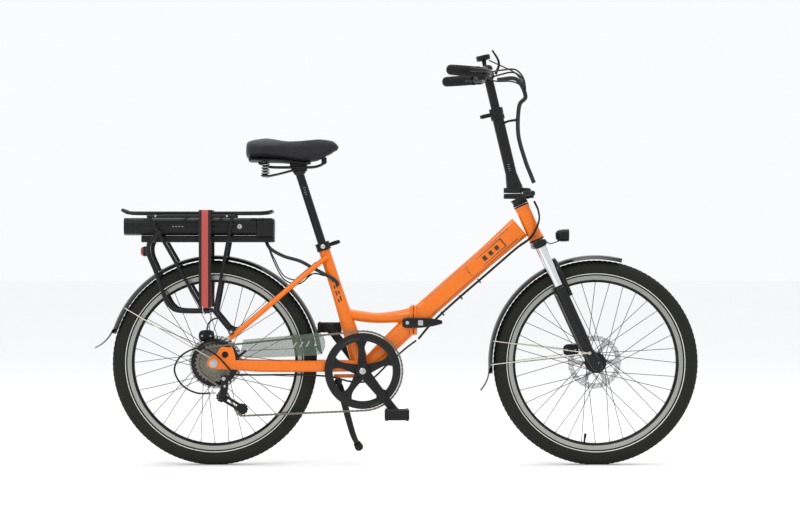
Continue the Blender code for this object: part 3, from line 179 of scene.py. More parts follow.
def eased(path: Array, size: Array, tip: float) -> tuple[Array, Array]:
    """Round both ends of a path: the size grows by a quarter circle over the length of the tip.

    Args:
        path: (n, 3) points.
        size: (n, k) half sizes.
        tip: length of the rounding.

    Returns:
        The path and the sizes, with four more rows at each end.
    """
    turn = np.linspace(0, math.pi / 2, 5)[:-1]
    shift, lost = tip * (1 - np.cos(turn))[:, None], tip * (1 - np.sin(turn))[:, None]
    first, last = unit(path[1] - path[0]), unit(path[-1] - path[-2])
    start, end = path[0] + first * shift, path[-1] - last * shift[::-1]
    middle_path = np.vstack([path[0] + first * tip, path[1:-1], path[-1] - last * tip])
    small = np.maximum(size[0] - lost, size[0] * 0.05)
    small_end = np.maximum(size[-1] - lost[::-1], size[-1] * 0.05)
    return np.vstack([start, middle_path, end]), np.vstack([small, size, small_end])


def tube(path: Array, radius: float | Array | list, sides: int = 20, tip: float = 0.0, loop: bool = False) -> Surface:
    """Carry a circle of radius r along a path: p + r (n cos a + s sin a), with n kept from twisting.

    Args:
        path: (n, 3) points, in metres.
        radius: one radius or one for each point, in millimetres.
        sides: points round the circle.
        tip: how far both ends are rounded, in millimetres.
        loop: the path closes on itself.

    Returns:
        The closed tube.
    """
    path = np.asarray(path, float)
    size = np.broadcast_to(np.asarray(radius, float), len(path)).reshape(-1, 1) * MM
    if tip:
        path, size = eased(path, size, tip * MM)
    way = unit(np.roll(path, -1, 0) - np.roll(path, 1, 0)) if loop else unit(np.gradient(path, axis=0))
    normal = np.empty_like(way)
    normal[0] = unit(np.cross(way[0], Z if abs(way[0][2]) < 0.9 else X))
    for k in range(1, len(way)):
        normal[k] = unit(normal[k - 1] - way[k] * (normal[k - 1] @ way[k]))
    side = np.cross(way, normal)
    angle = np.linspace(0, 2 * math.pi, sides, endpoint=False)[None, :, None]
    ring = normal[:, None] * np.cos(angle) + side[:, None] * np.sin(angle)
    return grid(path[:, None] + size[:, None] * ring, loop_rows=loop)


def loft(stations: Array, sides: int = 32, spans: int = 8, across: Array = Y, tip: float = 0.0) -> Surface:
    """Carry a superellipse |u/w|^p + |v/d|^p = 1 through stations, all of it on one smooth curve.

    Args:
        stations: rows of x, y, z, half width along across, half depth, and power, in metres.
        sides: points round each section.
        spans: rows between two stations.
        across: the direction of each section's width.
        tip: how far both ends are rounded, in millimetres.

    Returns:
        The closed body.
    """
    line = curve(np.asarray(stations, float), spans)
    path, size, power = line[:, :3], line[:, 3:5], line[:, 5:6]
    if tip:
        path, size = eased(path, size, tip * MM)
        power = np.vstack([power[:1]] * 4 + [power] + [power[-1:]] * 4)
    way = unit(np.gradient(path, axis=0))
    side = unit(across - way * (way @ across)[:, None])
    deep = np.cross(way, side)
    angle = (np.arange(sides) + 0.5) / sides * 2 * math.pi
    cos, sin = np.cos(angle)[None, :], np.sin(angle)[None, :]
    wide = np.sign(cos) * np.abs(cos) ** (2 / power) * size[:, :1]
    tall = np.sign(sin) * np.abs(sin) ** (2 / power) * size[:, 1:]
    return grid(path[:, None] + side[:, None] * wide[..., None] + deep[:, None] * tall[..., None])


def lathe(profile: Array | list, centre: Array, axis: Array = Y, steps: int = 96, closed: bool = True) -> Surface:
    """Turn a profile of (r, h) about an axis: c + r (e cos a + f sin a) + h axis.

    Args:
        profile: (n, 2) radii and heights, in millimetres.
        centre: a point on the axis.
        axis: the axis.
        steps: points round it.
        closed: the profile is a ring; an open one starts and ends on the axis.

    Returns:
        The turned body, with the arc at the outer radius as its first UV length.
    """
    profile = np.asarray(profile, float) * MM
    first = unit(np.cross(axis, X if abs(axis[0]) < 0.9 else Z))
    second = np.cross(axis, first)
    angle = np.linspace(0, 2 * math.pi, steps, endpoint=False)[:, None, None]
    radius, height = profile[None, :, :1], profile[None, :, 1:]
    rows = centre + radius * (first * np.cos(angle) + second * np.sin(angle)) + height * axis
    return grid(rows, loop_rows=True, loop_columns=closed)


def box(centre: Array, half: tuple | list | Array, power: float = 8.0, tip: float = 1.0, along: Array = Z,
        across: Array = Y) -> Surface:
    """A block with softened edges, as a short superellipse prism along one axis.

    Args:
        centre: its middle, in metres.
        half: half width along across, half depth, and half length along along, in millimetres.
        power: how square the section is.
        tip: the rounding at both ends, in millimetres.
        along: the direction of the prism.
        across: the direction of its width.

    Returns:
        The closed block.
    """
    wide, deep, long = np.asarray(half, float) * MM
    ends = [np.r_[centre + unit(along) * k * long, wide, deep, power] for k in (-1, 1)]
    return loft(np.array(ends), 40, 2, np.asarray(across, float), tip)


def plate(outline: Array, holes: list[Array], thick: float, place: Array, bevel: float = 0.4) -> Surface:
    """Cut a flat plate with holes from sheet, its edges broken all round.

    Args:
        outline: (n, 2) points in X and Z.
        holes: rings of the same kind.
        thick: the sheet's thickness along Y, in millimetres.
        place: where the drawing's origin goes.
        bevel: the size of the broken edge, in millimetres.

    Returns:
        The plate as a surface.
    """
    edge = bevel * MM
    flat = bpy.data.curves.new("plate", "CURVE")
    flat.dimensions, flat.fill_mode = "2D", "BOTH"
    flat.extrude, flat.bevel_depth, flat.bevel_resolution = thick * MM / 2 - edge, edge, 0
    flat.offset = -edge
    for ring in [outline, *holes]:
        spline = flat.splines.new("POLY")
        spline.points.add(len(ring) - 1)
        flat_points = np.column_stack([ring, np.zeros(len(ring)), np.ones(len(ring))])
        spline.points.foreach_set("co", flat_points.ravel())
        spline.use_cyclic_u = True
    holder = bpy.data.objects.new("plate", flat)
    bpy.context.scene.collection.objects.link(holder)
    mesh = bpy.data.meshes.new_from_object(holder.evaluated_get(bpy.context.evaluated_depsgraph_get()))
    bpy.data.objects.remove(holder)
    shape = bmesh.new()
    shape.from_mesh(mesh)
    bmesh.ops.remove_doubles(shape, verts=shape.verts, dist=1e-6)
    shape.to_mesh(mesh)
    shape.free()
    points = np.empty(len(mesh.vertices) * 3)
    mesh.vertices.foreach_get("co", points)
    faces = [np.array(face.vertices) for face in mesh.polygons]
    bpy.data.meshes.remove(mesh)
    quads = np.array([face for face in faces if len(face) == 4]).reshape(-1, 4)
    others = [face for face in faces if len(face) != 4]
    points = points.reshape(-1, 3)[:, [0, 2, 1]]
    return Surface(points + place, quads.astype(int), others).outward()


def circle(radius: float, centre: tuple[float, float] = (0.0, 0.0), steps: int = 24) -> Array:
    """Points on a circle: centre + r (cos a, sin a), with r in millimetres."""
    angle = np.linspace(0, 2 * math.pi, steps, endpoint=False)
    return np.column_stack([np.cos(angle), np.sin(angle)]) * radius * MM + centre


# ---- Finishes -------------------------------------------------------------------------------


def linear(colour: str) -> tuple[float, float, float, float]:
    """Turn an sRGB hex colour into linear light.

    Args:
        colour: six hex digits.

    Returns:
        Red, green, blue and an alpha of one.
    """
    parts = np.array([int(colour[k : k + 2], 16) / 255 for k in (0, 2, 4)])
    light = np.where(parts <= 0.04045, parts / 12.92, ((parts + 0.055) / 1.055) ** 2.4)
    return (*(float(part) for part in light), 1.0)


def add(tree: bpy.types.NodeTree, kind: str, settings: dict | None = None, links: dict | None = None) -> bpy.types.Node:
    """Add one node, set its properties and sockets, and link its inputs.

    Args:
        tree: the material's tree.
        kind: the node's type name without its prefix.
        settings: properties, or input sockets by name, and their values.
        links: input sockets by name or number, and the output sockets that feed them.

    Returns:
        The node.
    """
    made = tree.nodes.new("ShaderNode" + kind)
    for name, value in (settings or {}).items():
        if hasattr(made, name):
            setattr(made, name, value)
        else:
            made.inputs[name].default_value = value
    for name, output in (links or {}).items():
        tree.links.new(output, made.inputs[name])
    return made


class Space(Enum):
    """Which coordinates a pattern lies in."""

    OBJECT = "Object"
    SURFACE = "UV"


@dataclass(frozen=True)
class Finish:
    """One real finish: a shader with a fine grain in its colour, roughness and bump.

    The grain is noise of a real size in millimetres; stretch draws it out, as brushing does.
    """

    name: str
    colour: str
    roughness: float
    second: str = ""
    metallic: float = 0.0
    coat: float = 0.0
    coat_roughness: float = 0.05
    specular: float = 0.5
    sheen: float = 0.0
    transmission: float = 0.0
    alpha: float = 1.0
    glow: float = 0.0
    grain_mm: float = 1.0
    bump_mm: float = 0.0
    spread: float = 0.05
    stretch: tuple[float, float, float] = (1.0, 1.0, 1.0)
    space: Space = Space.OBJECT

    def build(self) -> bpy.types.Material:
        """Make the material once, and give the same one after that.

        Returns:
            The material.
        """
        found = bpy.data.materials.get(self.name)
        if found:
            return found
        material = bpy.data.materials.new(self.name)
        material.use_nodes = True
        tree = material.node_tree
        shader = tree.nodes["Principled BSDF"]
        uniform = {
            "Metallic": self.metallic,
            "Coat Weight": self.coat,
            "Coat Roughness": self.coat_roughness,
            "Specular IOR Level": self.specular,
            "Sheen Weight": self.sheen,
            "Transmission Weight": self.transmission,
            "Alpha": self.alpha,
            "Emission Strength": self.glow,
        }
        for socket, value in uniform.items():
            shader.inputs[socket].default_value = value
        shader.inputs["Emission Color"].default_value = linear(self.colour)
        where = add(tree, "TexCoord").outputs[self.space.value]
        where = add(tree, "Mapping", {"Scale": self.stretch}, {"Vector": where}).outputs["Vector"]
        self.dress(tree, shader, where)
        return material

    def dress(self, tree: bpy.types.NodeTree, shader: bpy.types.Node, where: bpy.types.NodeSocket) -> None:
        """Feed the grain into colour, roughness and bump.

        Args:
            tree: the material's tree.
            shader: its Principled shader.
            where: the coordinates, in metres.
        """
        noise = add(tree, "TexNoise", {"Scale": 1 / (self.grain_mm * MM), "Detail": 4.0}, {"Vector": where})
        self.tint(tree, shader, noise.outputs["Fac"])
        self.press(tree, shader, noise.outputs["Fac"])

    def tint(self, tree: bpy.types.NodeTree, shader: bpy.types.Node, value: bpy.types.NodeSocket) -> None:
        """Run from one colour and roughness to the other as a value goes from 0.3 to 0.7."""
        ramp = add(tree, "MapRange", {"From Min": 0.3, "From Max": 0.7}, {"Value": value})
        mix = add(tree, "Mix", {"data_type": "RGBA"}, {"Factor": ramp.outputs["Result"]})
        mix.inputs[6].default_value = linear(self.colour)
        mix.inputs[7].default_value = linear(self.second or self.colour)
        tree.links.new(mix.outputs[2], shader.inputs["Base Color"])
        low, high = max(self.roughness - self.spread, 0.02), min(self.roughness + self.spread, 1.0)
        rough = add(tree, "MapRange", {"From Min": 0.3, "From Max": 0.7, "To Min": low, "To Max": high}, {"Value": value})
        tree.links.new(rough.outputs["Result"], shader.inputs["Roughness"])

    def press(self, tree: bpy.types.NodeTree, shader: bpy.types.Node, value: bpy.types.NodeSocket) -> None:
        """Raise the surface by a value, bump_mm high."""
        if self.bump_mm:
            bump = add(tree, "Bump", {"Strength": 1.0, "Distance": self.bump_mm * MM}, {"Height": value})
            tree.links.new(bump.outputs["Normal"], shader.inputs["Normal"])


@dataclass(frozen=True)
class Grained(Finish):
    """A cell pattern pressed into the skin, as in leathercloth or moulded plastic."""

    def dress(self, tree: bpy.types.NodeTree, shader: bpy.types.Node, where: bpy.types.NodeSocket) -> None:
        """Lay cells over fine noise; see Finish.dress."""
        cells = add(
            tree, "TexVoronoi", {"feature": "DISTANCE_TO_EDGE", "Scale": 1 / (self.grain_mm * MM)}, {"Vector": where}
        )
        edge = add(tree, "MapRange", {"From Max": 0.25}, {"Value": cells.outputs["Distance"]})
        noise = add(tree, "TexNoise", {"Scale": 0.12 / (self.grain_mm * MM), "Detail": 5.0}, {"Vector": where})
        self.tint(tree, shader, noise.outputs["Fac"])
        self.press(tree, shader, edge.outputs["Result"])


@dataclass(frozen=True)
class Woven(Finish):
    """Flat webbing: warp and weft as two crossed waves on the UV map."""

    def dress(self, tree: bpy.types.NodeTree, shader: bpy.types.Node, where: bpy.types.NodeSocket) -> None:
        """Cross two waves for the weave; see Finish.dress."""
        pick = 0.32 / (self.grain_mm * MM)
        waves = [
            add(tree, "TexWave", {"bands_direction": way, "Scale": pick, "Distortion": 0.4}, {"Vector": where})
            for way in ("X", "Y")
        ]
        weave = add(tree, "Math", {"operation": "MULTIPLY"}, {0: waves[0].outputs["Fac"], 1: waves[1].outputs["Fac"]})
        self.tint(tree, shader, weave.outputs["Value"])
        self.press(tree, shader, weave.outputs["Value"])


# Wet paint over steel, baked: a hard clear coat with a faint orange-peel ripple.
FRAME_PAINT = Finish("orange_baked_enamel", "dd6a00", 0.3, "e37104", coat=0.3, specular=0.3, grain_mm=5.0,
                     bump_mm=0.02, spread=0.04)
# Black stove enamel on tube and castings: satin, slightly uneven.
SATIN_BLACK = Finish("satin_black_stove_enamel", "0b0b0c", 0.34, "111112", coat=0.1, specular=0.22, grain_mm=2.5,
                     bump_mm=0.03)
# Black anodised aluminium: a dry, fine metallic sheen.
ANODISED = Finish("black_anodised_aluminium", "1c1c1e", 0.3, "28282a", metallic=0.6, specular=0.25, grain_mm=0.8,
                  spread=0.07)
# Injection-moulded ABS with a spark-eroded grain.
MOULDED = Grained("black_moulded_abs", "0e0e0f", 0.42, "141415", specular=0.24, grain_mm=0.9, bump_mm=0.05)
# Polycarbonate guard sheet, smooth from a polished mould.
GUARD_SHEET = Finish("gloss_black_polycarbonate", "0a0a0b", 0.22, "0e0e0f", coat=0.15, specular=0.25, grain_mm=8.0,
                     bump_mm=0.02)
# Vulcanised tyre rubber, dusty-matte.
TYRE_RUBBER = Finish("vulcanised_tyre_rubber", "191a15", 0.8, "24251e", specular=0.2, grain_mm=1.6, bump_mm=0.12)
# Soft grip rubber, matte and slightly greyed by hands.
GRIP_RUBBER = Grained("moulded_grip_rubber", "111112", 0.7, "19191a", specular=0.2, grain_mm=1.4, bump_mm=0.15)
# Retroreflective strip on the side wall, pale grey by day.
REFLECTIVE = Finish("retroreflective_band", "d9dbd6", 0.45, "c9cbc6", grain_mm=0.6, bump_mm=0.03)
# Machined rim wall: bright aluminium with the tool's fine circular lines.
MACHINED = Finish(
    "machined_rim_aluminium", "8e8f88", 0.22, "a9aaa2", metallic=1.0, grain_mm=0.5, bump_mm=0.012, stretch=(0.02, 1.0, 1.0),
    space=Space.SURFACE,
)
# Ground stainless brake disc: darker, cross-brushed.
DISC_STEEL = Finish("ground_stainless_steel", "a9aaab", 0.3, "c2c3c4", metallic=1.0, grain_mm=0.7, bump_mm=0.01)
# Hard chrome on the fork's inner legs.
CHROME = Finish("hard_chrome", "d4d6d8", 0.08, "dddfe1", metallic=1.0, grain_mm=6.0, spread=0.02)
# Zinc-plated screws and axles.
ZINC = Finish("zinc_plated_steel", "a7a8a6", 0.36, "c0c1be", metallic=1.0, grain_mm=1.0)
# Blackened stainless spoke wire.
WIRE = Finish("black_spoke_wire", "232324", 0.35, "333334", metallic=0.6, grain_mm=2.0)
# Oiled roller chain and cogs: brown-grey with dark grease.
CHAIN_STEEL = Finish("oiled_chain_steel", "5b564e", 0.42, "8b867c", metallic=1.0, grain_mm=2.2, bump_mm=0.02)
# Stainless stay wire of the mudguards.
STAY_WIRE = Finish("stainless_stay_wire", "b9b6a6", 0.28, "c9c6b8", metallic=1.0, grain_mm=2.0)
# Cable housing: extruded PVC.
HOUSING = Finish("extruded_pvc_housing", "0d0d0e", 0.4, "151516", specular=0.25, grain_mm=1.5, bump_mm=0.04)
# PVC leathercloth over the saddle's foam.
LEATHERCLOTH = Grained("black_leathercloth", "101013", 0.46, "1a1a1e", specular=0.28, sheen=0.06, grain_mm=1.3,
                       bump_mm=0.16, spread=0.08)
# Saddle base and shell: polypropylene.
SHELL = Grained("black_polypropylene", "0d0d0e", 0.5, "131314", specular=0.22, grain_mm=1.2, bump_mm=0.05)
# Polyester webbing, black edges and a red centre.
WEBBING_BLACK = Woven("black_polyester_webbing", "1a0f0f", 0.85, "2a1716", grain_mm=1.1, bump_mm=0.25,
                      space=Space.SURFACE)
WEBBING_RED = Woven("red_polyester_webbing", "b4504a", 0.85, "8a2a28", grain_mm=1.1, bump_mm=0.25, space=Space.SURFACE)
# Tail-lamp lens: dyed acrylic.
RED_LENS = Finish("dyed_acrylic_lens", "8c0f12", 0.12, "a01418", coat=0.6, grain_mm=2.5, bump_mm=0.1)
# Clear lamp glass over a bright reflector.
CLEAR_LENS = Finish("clear_lamp_acrylic", "dfe4e6", 0.06, "eef2f4", coat=0.8, metallic=0.3, grain_mm=2.5, bump_mm=0.15)
# Smoked polycarbonate chain cover, see-through.
SMOKED = Finish("smoked_polycarbonate", "4a5a4c", 0.15, "566656", coat=0.6, alpha=0.42, grain_mm=9.0)
# Vinyl decal film in black and in pale grey.
DECAL = Finish("black_vinyl_film", "1a1210", 0.35, "221814", coat=0.4, grain_mm=4.0, bump_mm=0.01)
PALE_DECAL = Finish("grey_vinyl_film", "8f8f88", 0.4, "9f9f98", grain_mm=4.0, bump_mm=0.01)
# Display glass: black and glossy. The same finish is laid on the battery lock's key slot as painted shade for the
# keyway's hollow.
BLACK_GLASS_AND_SLOT_SHADE = Finish("black_display_glass_and_slot_shade", "08090b", 0.08, "0c0d10", coat=1.0, grain_mm=9.0)
# Red-orange prismatic reflectors on the pedals.
REFLECTOR = Finish("amber_prism_reflector", "c8641a", 0.2, "d87a28", coat=0.6, grain_mm=2.5, bump_mm=0.1)
# Braided polyester sleeve round the cables.
SLEEVE = Grained("braided_cable_sleeve", "141415", 0.7, "232324", grain_mm=1.6, bump_mm=0.12)
# Pale studio floor: matt paint.
FLOOR = Finish("matt_floor_paint", "fafafa", 0.9, "fcfcfc", specular=0.05, grain_mm=40.0)


# ---- The workbench --------------------------------------------------------------------------


def dress(name: str, surface: Surface | list[Surface], finish: Finish, body: str, replaces: tuple[str, ...] = (),
          crease: float = 38.0) -> bpy.types.Object:
    """Make a surface an object with its finish, riding on its CAD body.

    Args:
        name: the piece's name.
        surface: its skin, or several that make one piece.
        finish: its material.
        body: the CAD body that carries it.
        replaces: the CAD nodes that it stands for.
        crease: edges sharper than this stay sharp, in degrees.

    Returns:
        The object, at the origin.
    """
    if isinstance(surface, list):
        surface = Surface.join(*surface)
    mesh = bpy.data.meshes.new(name)
    faces = surface.quads.tolist() + [cap.tolist() for cap in surface.caps]
    mesh.from_pydata(surface.points, [], faces)
    if surface.uv is not None:
        corners = np.empty(len(mesh.loops), int)
        mesh.loops.foreach_get("vertex_index", corners)
        layer = mesh.uv_layers.new(name="lengths")
        layer.data.foreach_set("uv", surface.uv[corners].astype(np.float32).ravel())
    mesh.shade_smooth()
    mesh.set_sharp_from_angle(angle=math.radians(crease))
    mesh.materials.append(finish.build())
    piece = bpy.data.objects.new(name, mesh)
    bpy.context.scene.collection.objects.link(piece)
    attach(piece, body)
    if replaces:
        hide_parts(*replaces)
    log.info("%s: %d faces", name, len(faces))
    return piece


@dataclass
class Bench:
    """The drawing's datum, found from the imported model: the rear axle, and the ground."""

    rear_axle: Array
    front_axle: Array
    bracket: Array
    head_lean: float = math.radians(24.3)
    stem_lean: float = math.radians(13.4)
    seat_lean: float = math.radians(17.8)

    @staticmethod
    def middle(node: str) -> Array:
        """The middle of a CAD node's box."""
        low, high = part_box(node)
        return (np.array(low) + np.array(high)) / 2

    @classmethod
    def measured(cls) -> Bench:
        """Find the datum points.

        Returns:
            The bench.
        """
        rear, front = cls.middle("rear_hub_motor"), cls.middle("front_hub")
        ring = cls.middle("chainring")
        return cls(rear * [1, 0, 1], front * [1, 0, 1], ring * [1, 0, 1])

    def at(self, x: float, z: float, y: float = 0.0) -> Array:
        """A point from millimetres ahead of the rear axle, above the ground and to the left."""
        return np.array([self.rear_axle[0] + x * MM, y * MM, z * MM])

    def run(self, *spots: tuple[float, float, float]) -> Array:
        """A path through (x, z, y) spots in millimetres."""
        return np.array([self.at(*spot) for spot in spots])

    @staticmethod
    def lean(angle: float) -> tuple[Array, Array]:
        """Unit vectors up a line that leans back by an angle, and square ahead of it."""
        up = np.array([-math.sin(angle), 0, math.cos(angle)])
        return up, np.array([math.cos(angle), 0, math.sin(angle)])

    def steer(self, up: float, y: float = 0.0, ahead: float = 0.0) -> Array:
        """A point on the steering axis, up from beside the front axle, in millimetres."""
        way, fore = self.lean(self.head_lean)
        return self.front_axle + (way * up + fore * (ahead - 9.0) + Y * y) * MM

    def stem(self, up: float, y: float = 0.0, ahead: float = 0.0) -> Array:
        """A point on the handlebar post, up from its folding joint, in millimetres."""
        way, fore = self.lean(self.stem_lean)
        return self.steer(555.0) + (way * up + fore * ahead + Y * y) * MM

    def seat(self, up: float, y: float = 0.0, ahead: float = 0.0) -> Array:
        """A point on the seat tube, up from the bottom bracket, in millimetres."""
        way, fore = self.lean(self.seat_lean)
        return self.at(439, 279) + (way * up + fore * ahead + Y * y) * MM

    def sections(self, *rows: tuple[float, float, float, float, float]) -> Array:
        """Loft stations from (x, z, y, half width, half depth) in millimetres, round in section."""
        return np.array([np.r_[self.at(x, z, y), w * MM, d * MM, 2.0] for x, z, y, w, d in rows])

    def squared(self, power: float, *rows: tuple[float, float, float, float, float]) -> Array:
        """Loft stations like sections, of a squarer section."""
        stations = self.sections(*rows)
        stations[:, 5] = power
        return stations


def stations(points: list[Array], halves: list[tuple[float, float]], power: float = 2.0) -> Array:
    """Loft stations from points in metres and half sizes in millimetres."""
    return np.array([np.r_[point, w * MM, d * MM, power] for point, (w, d) in zip(points, halves)])


def pole(start: Array, end: Array, radius: float, finish_tip: float = 0.6, sides: int = 24) -> Surface:
    """A straight round bar between two points, its radius and rounding in millimetres."""
    return tube(np.linspace(start, end, 4), radius, sides, finish_tip)


def corners(node: str) -> Array:
    """The lowest and the highest corner of a CAD node's box."""
    return np.array(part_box(node))


def bolt(spot: Array, way: Array, radius: float = 4.0, height: float = 3.0) -> Surface:
    """A hexagon-socket cap screw: a turned head with a recess, sizes in millimetres."""
    r, h = radius, height
    profile = [(0, h * 0.45), (r * 0.5, h * 0.45), (r * 0.55, h), (r * 0.85, h), (r, h * 0.8), (r, 0), (0, -h * 0.2)]
    return lathe(profile, spot, unit(way), 18, closed=False)


# ---- Wheels, brakes and guards --------------------------------------------------------------


class End(Enum):
    """Which end of the bicycle a piece belongs to."""

    REAR = "rear"
    FRONT = "front"


@dataclass
class Wheel:
    """One wheel: tyre, rim, spokes, hub and brake disc."""

    bench: Bench
    end: End
    tyre_radius: float = 303.4
    tyre_width: float = 50.0
    rim_radius: float = 266.0
    rim_depth: float = 27.5
    rim_width: float = 29.0
    spokes: int = 36
    rotor_radius: float = 80.0

    @property
    def axle(self) -> Array:
        """The middle of the axle."""
        return self.bench.rear_axle if self.end is End.REAR else self.bench.front_axle

    @property
    def body(self) -> str:
        """The CAD body that turns."""
        return f"{self.end.value}_wheel"

    def build(self) -> None:
        """Make every piece of the wheel."""
        self.tyre()
        self.rim()
        self.lacing()
        if self.end is End.REAR:
            self.motor()
        else:
            self.hub()
        self.rotor()
        self.valve()

    def tyre(self) -> None:
        """Turn the tyre's round section, r = R + h cos a, y = h sin a, and raise its tread blocks.

        The shoulder knobs and the centre rib stand 1.2 mm high where two square waves agree: one runs
        round the wheel 120 times, and the other across the tread, skewed by its distance from the middle.
        """
        half = self.tyre_width / 2 * MM
        middle = self.tyre_radius * MM - half
        angle = np.radians(np.linspace(-142, 142, 61))
        turn = np.linspace(0, 2 * math.pi, 960, endpoint=False)[:, None]
        across = angle[None, :] / math.radians(100)
        wave = np.sin(120 * turn + 14 * np.abs(across))
        block = np.clip(wave * 4 + 1.2, 0, 1) * (np.abs(across) > 0.16) * (np.abs(across) < 0.62)
        rib = (np.abs(across) < 0.11) * np.clip(np.sin(120 * turn) * 5 + 3.5, 0.3, 1)
        height = (block + rib) * 1.2 * MM - 0.9 * MM * (np.abs(across) < 0.64)
        out = half + height
        radius, side = middle + out * np.cos(angle), out * np.sin(angle)
        inner = np.radians(np.linspace(142, -142, 9))[None, :]
        thin = half - 3 * MM
        radius = np.hstack([radius, np.broadcast_to(middle + thin * np.cos(inner), (len(turn), 9))])
        side = np.hstack([side, np.broadcast_to(thin * np.sin(inner), (len(turn), 9))])
        spots = self.axle + radius[..., None] * (X * np.cos(turn)[..., None] + Z * np.sin(turn)[..., None])
        skin = grid(spots + side[..., None] * Y, loop_rows=True)
        name = f"{self.end.value}_tyre"
        dress(f"{name}_casing", skin, TYRE_RUBBER, self.body, (name,), 30)
        bands = []
        for hand in (-1, 1):
            line = np.radians(np.array([122, 128, 128, 122]))
            lift = np.array([0.35, 0.35, -0.4, -0.4]) * MM + half
            band = np.column_stack([middle + lift * np.cos(line), hand * lift * np.sin(line)])
            bands.append(lathe(band / MM, self.axle, Y, 240))
        dress(f"{name}_reflective_line", bands, REFLECTIVE, self.body, (), 30)

    def rim(self) -> None:
        """Turn the deep rim: black web and well with a bright machined wall on both sides."""
        top, low = self.rim_radius, self.rim_radius - self.rim_depth
        half = self.rim_width / 2
        web = [(low + 7, half - 0.6), (low + 3, half - 3), (low, half - 7)]
        bed = [(top - 2, half - 2.4), (low + 12, half - 4.0), (low + 9, 5.0)]
        side = [(r, -h) for r, h in reversed(web)]
        well = [(top - 2, -half + 0.4)] + [(r, -h) for r, h in bed] + bed[::-1] + [(top - 2, half - 0.4)]
        name = f"{self.end.value}_rim"
        dress(f"{name}_web", lathe(web + side + well, self.axle, Y, 180), ANODISED, self.body, (name,), 30)
        walls = []
        for hand in (-1, 1):
            wall = [(top - 0.5, half - 0.9), (top - 1.2, half), (low + 8.2, half), (low + 7.4, half - 0.7),
                    (low + 8, half - 1.5)]
            wall += [(top - 0.8, half - 1.6)]
            walls.append(lathe([(r, hand * h) for r, h in wall], self.axle, Y, 240))
        dress(f"{name}_walls", walls, MACHINED, self.body, (), 30)

    def lacing(self) -> None:
        """Draw 36 crossed spokes with their nipples, each a straight wire from a flange to the rim."""
        rear = self.end is End.REAR
        flange = 67.0 if rear else 29.0
        sides = (21.5, 19.5) if rear else (25.0, 25.0)
        crossing = 1 if rear else 3
        reach = self.rim_radius - self.rim_depth + 0.5
        wires, nipples = [], []
        for index in range(self.spokes):
            hand = 1 if index % 2 else -1
            lead = 1 if index % 4 < 2 else -1
            at_rim = 2 * math.pi * index / self.spokes
            at_hub = at_rim + lead * crossing * 4 * math.pi / self.spokes
            y = (sides[0] if hand > 0 else -sides[1]) + lead * 1.6
            start = self.axle + (X * math.cos(at_hub) + Z * math.sin(at_hub)) * flange * MM + Y * y * MM
            end = self.axle + (X * math.cos(at_rim) + Z * math.sin(at_rim)) * reach * MM + Y * hand * 3 * MM
            wires.append(tube(np.linspace(start, end, 3), 0.95, 8))
            nipples.append(tube(np.linspace(end + unit(start - end) * 11 * MM, end, 4), [1.5, 1.9, 1.9, 2.2], 10))
        name = f"{self.end.value}_spokes"
        dress(f"{name}_wires", wires, WIRE, self.body, (name,))
        dress(f"{name}_nipples", nipples, ZINC, self.body)

    def motor(self) -> None:
        """Turn the hub motor's drum with its cooling steps, flanges and cover screws."""
        side = [(0, 66), (5.2, 66), (5.2, 51), (15, 51), (17, 49.5), (18, 44), (30, 38.5), (31.5, 37), (52, 36.2)]
        side += [(56, 35.4), (58, 33), (60, 32.6), (66.5, 28.5), (69.6, 24.5), (69.8, 21.5), (66, 20), (66, 8), (65.2, 6)]
        other = [(65.2, -4), (66, -6), (66, -18), (69.8, -19.4), (69.6, -22), (66.5, -25.5), (60, -30), (58, -30.4)]
        other += [(56, -32.4), (40, -34.6), (20, -36.2), (6, -36.6), (5.6, -67), (0, -67)]
        drum = lathe(side + other, self.axle, Y, 96, closed=False)
        dress("rear_motor_drum", drum, SATIN_BLACK, self.body, ("rear_hub_motor",), 24)
        ring = [bolt(self.axle + (X * math.cos(a) + Z * math.sin(a)) * 50 * MM - Y * 33.2 * MM, -Y, 2.6, 1.8)
                for a in np.arange(8) * math.pi / 4]
        dress("rear_motor_screws", ring, ZINC, self.body)

    def hub(self) -> None:
        """Turn the front hub: a waisted shell with two spoke flanges, its cones and its axle."""
        half = [(0, 47), (4.6, 47), (4.6, 40), (7.5, 40), (7.5, 36), (12, 35), (16, 34.3), (17, 33.5), (27, 31.5),
                (29.8, 30.6)]
        half += [(30.4, 29.2), (29.8, 27.6), (19, 26.5), (15.5, 22), (14, 12)]
        profile = half + [(r, -h) for r, h in reversed(half)]
        dress("front_hub_shell", lathe(profile, self.axle, Y, 72, closed=False), ANODISED, self.body,
              ("front_hub",), 26)

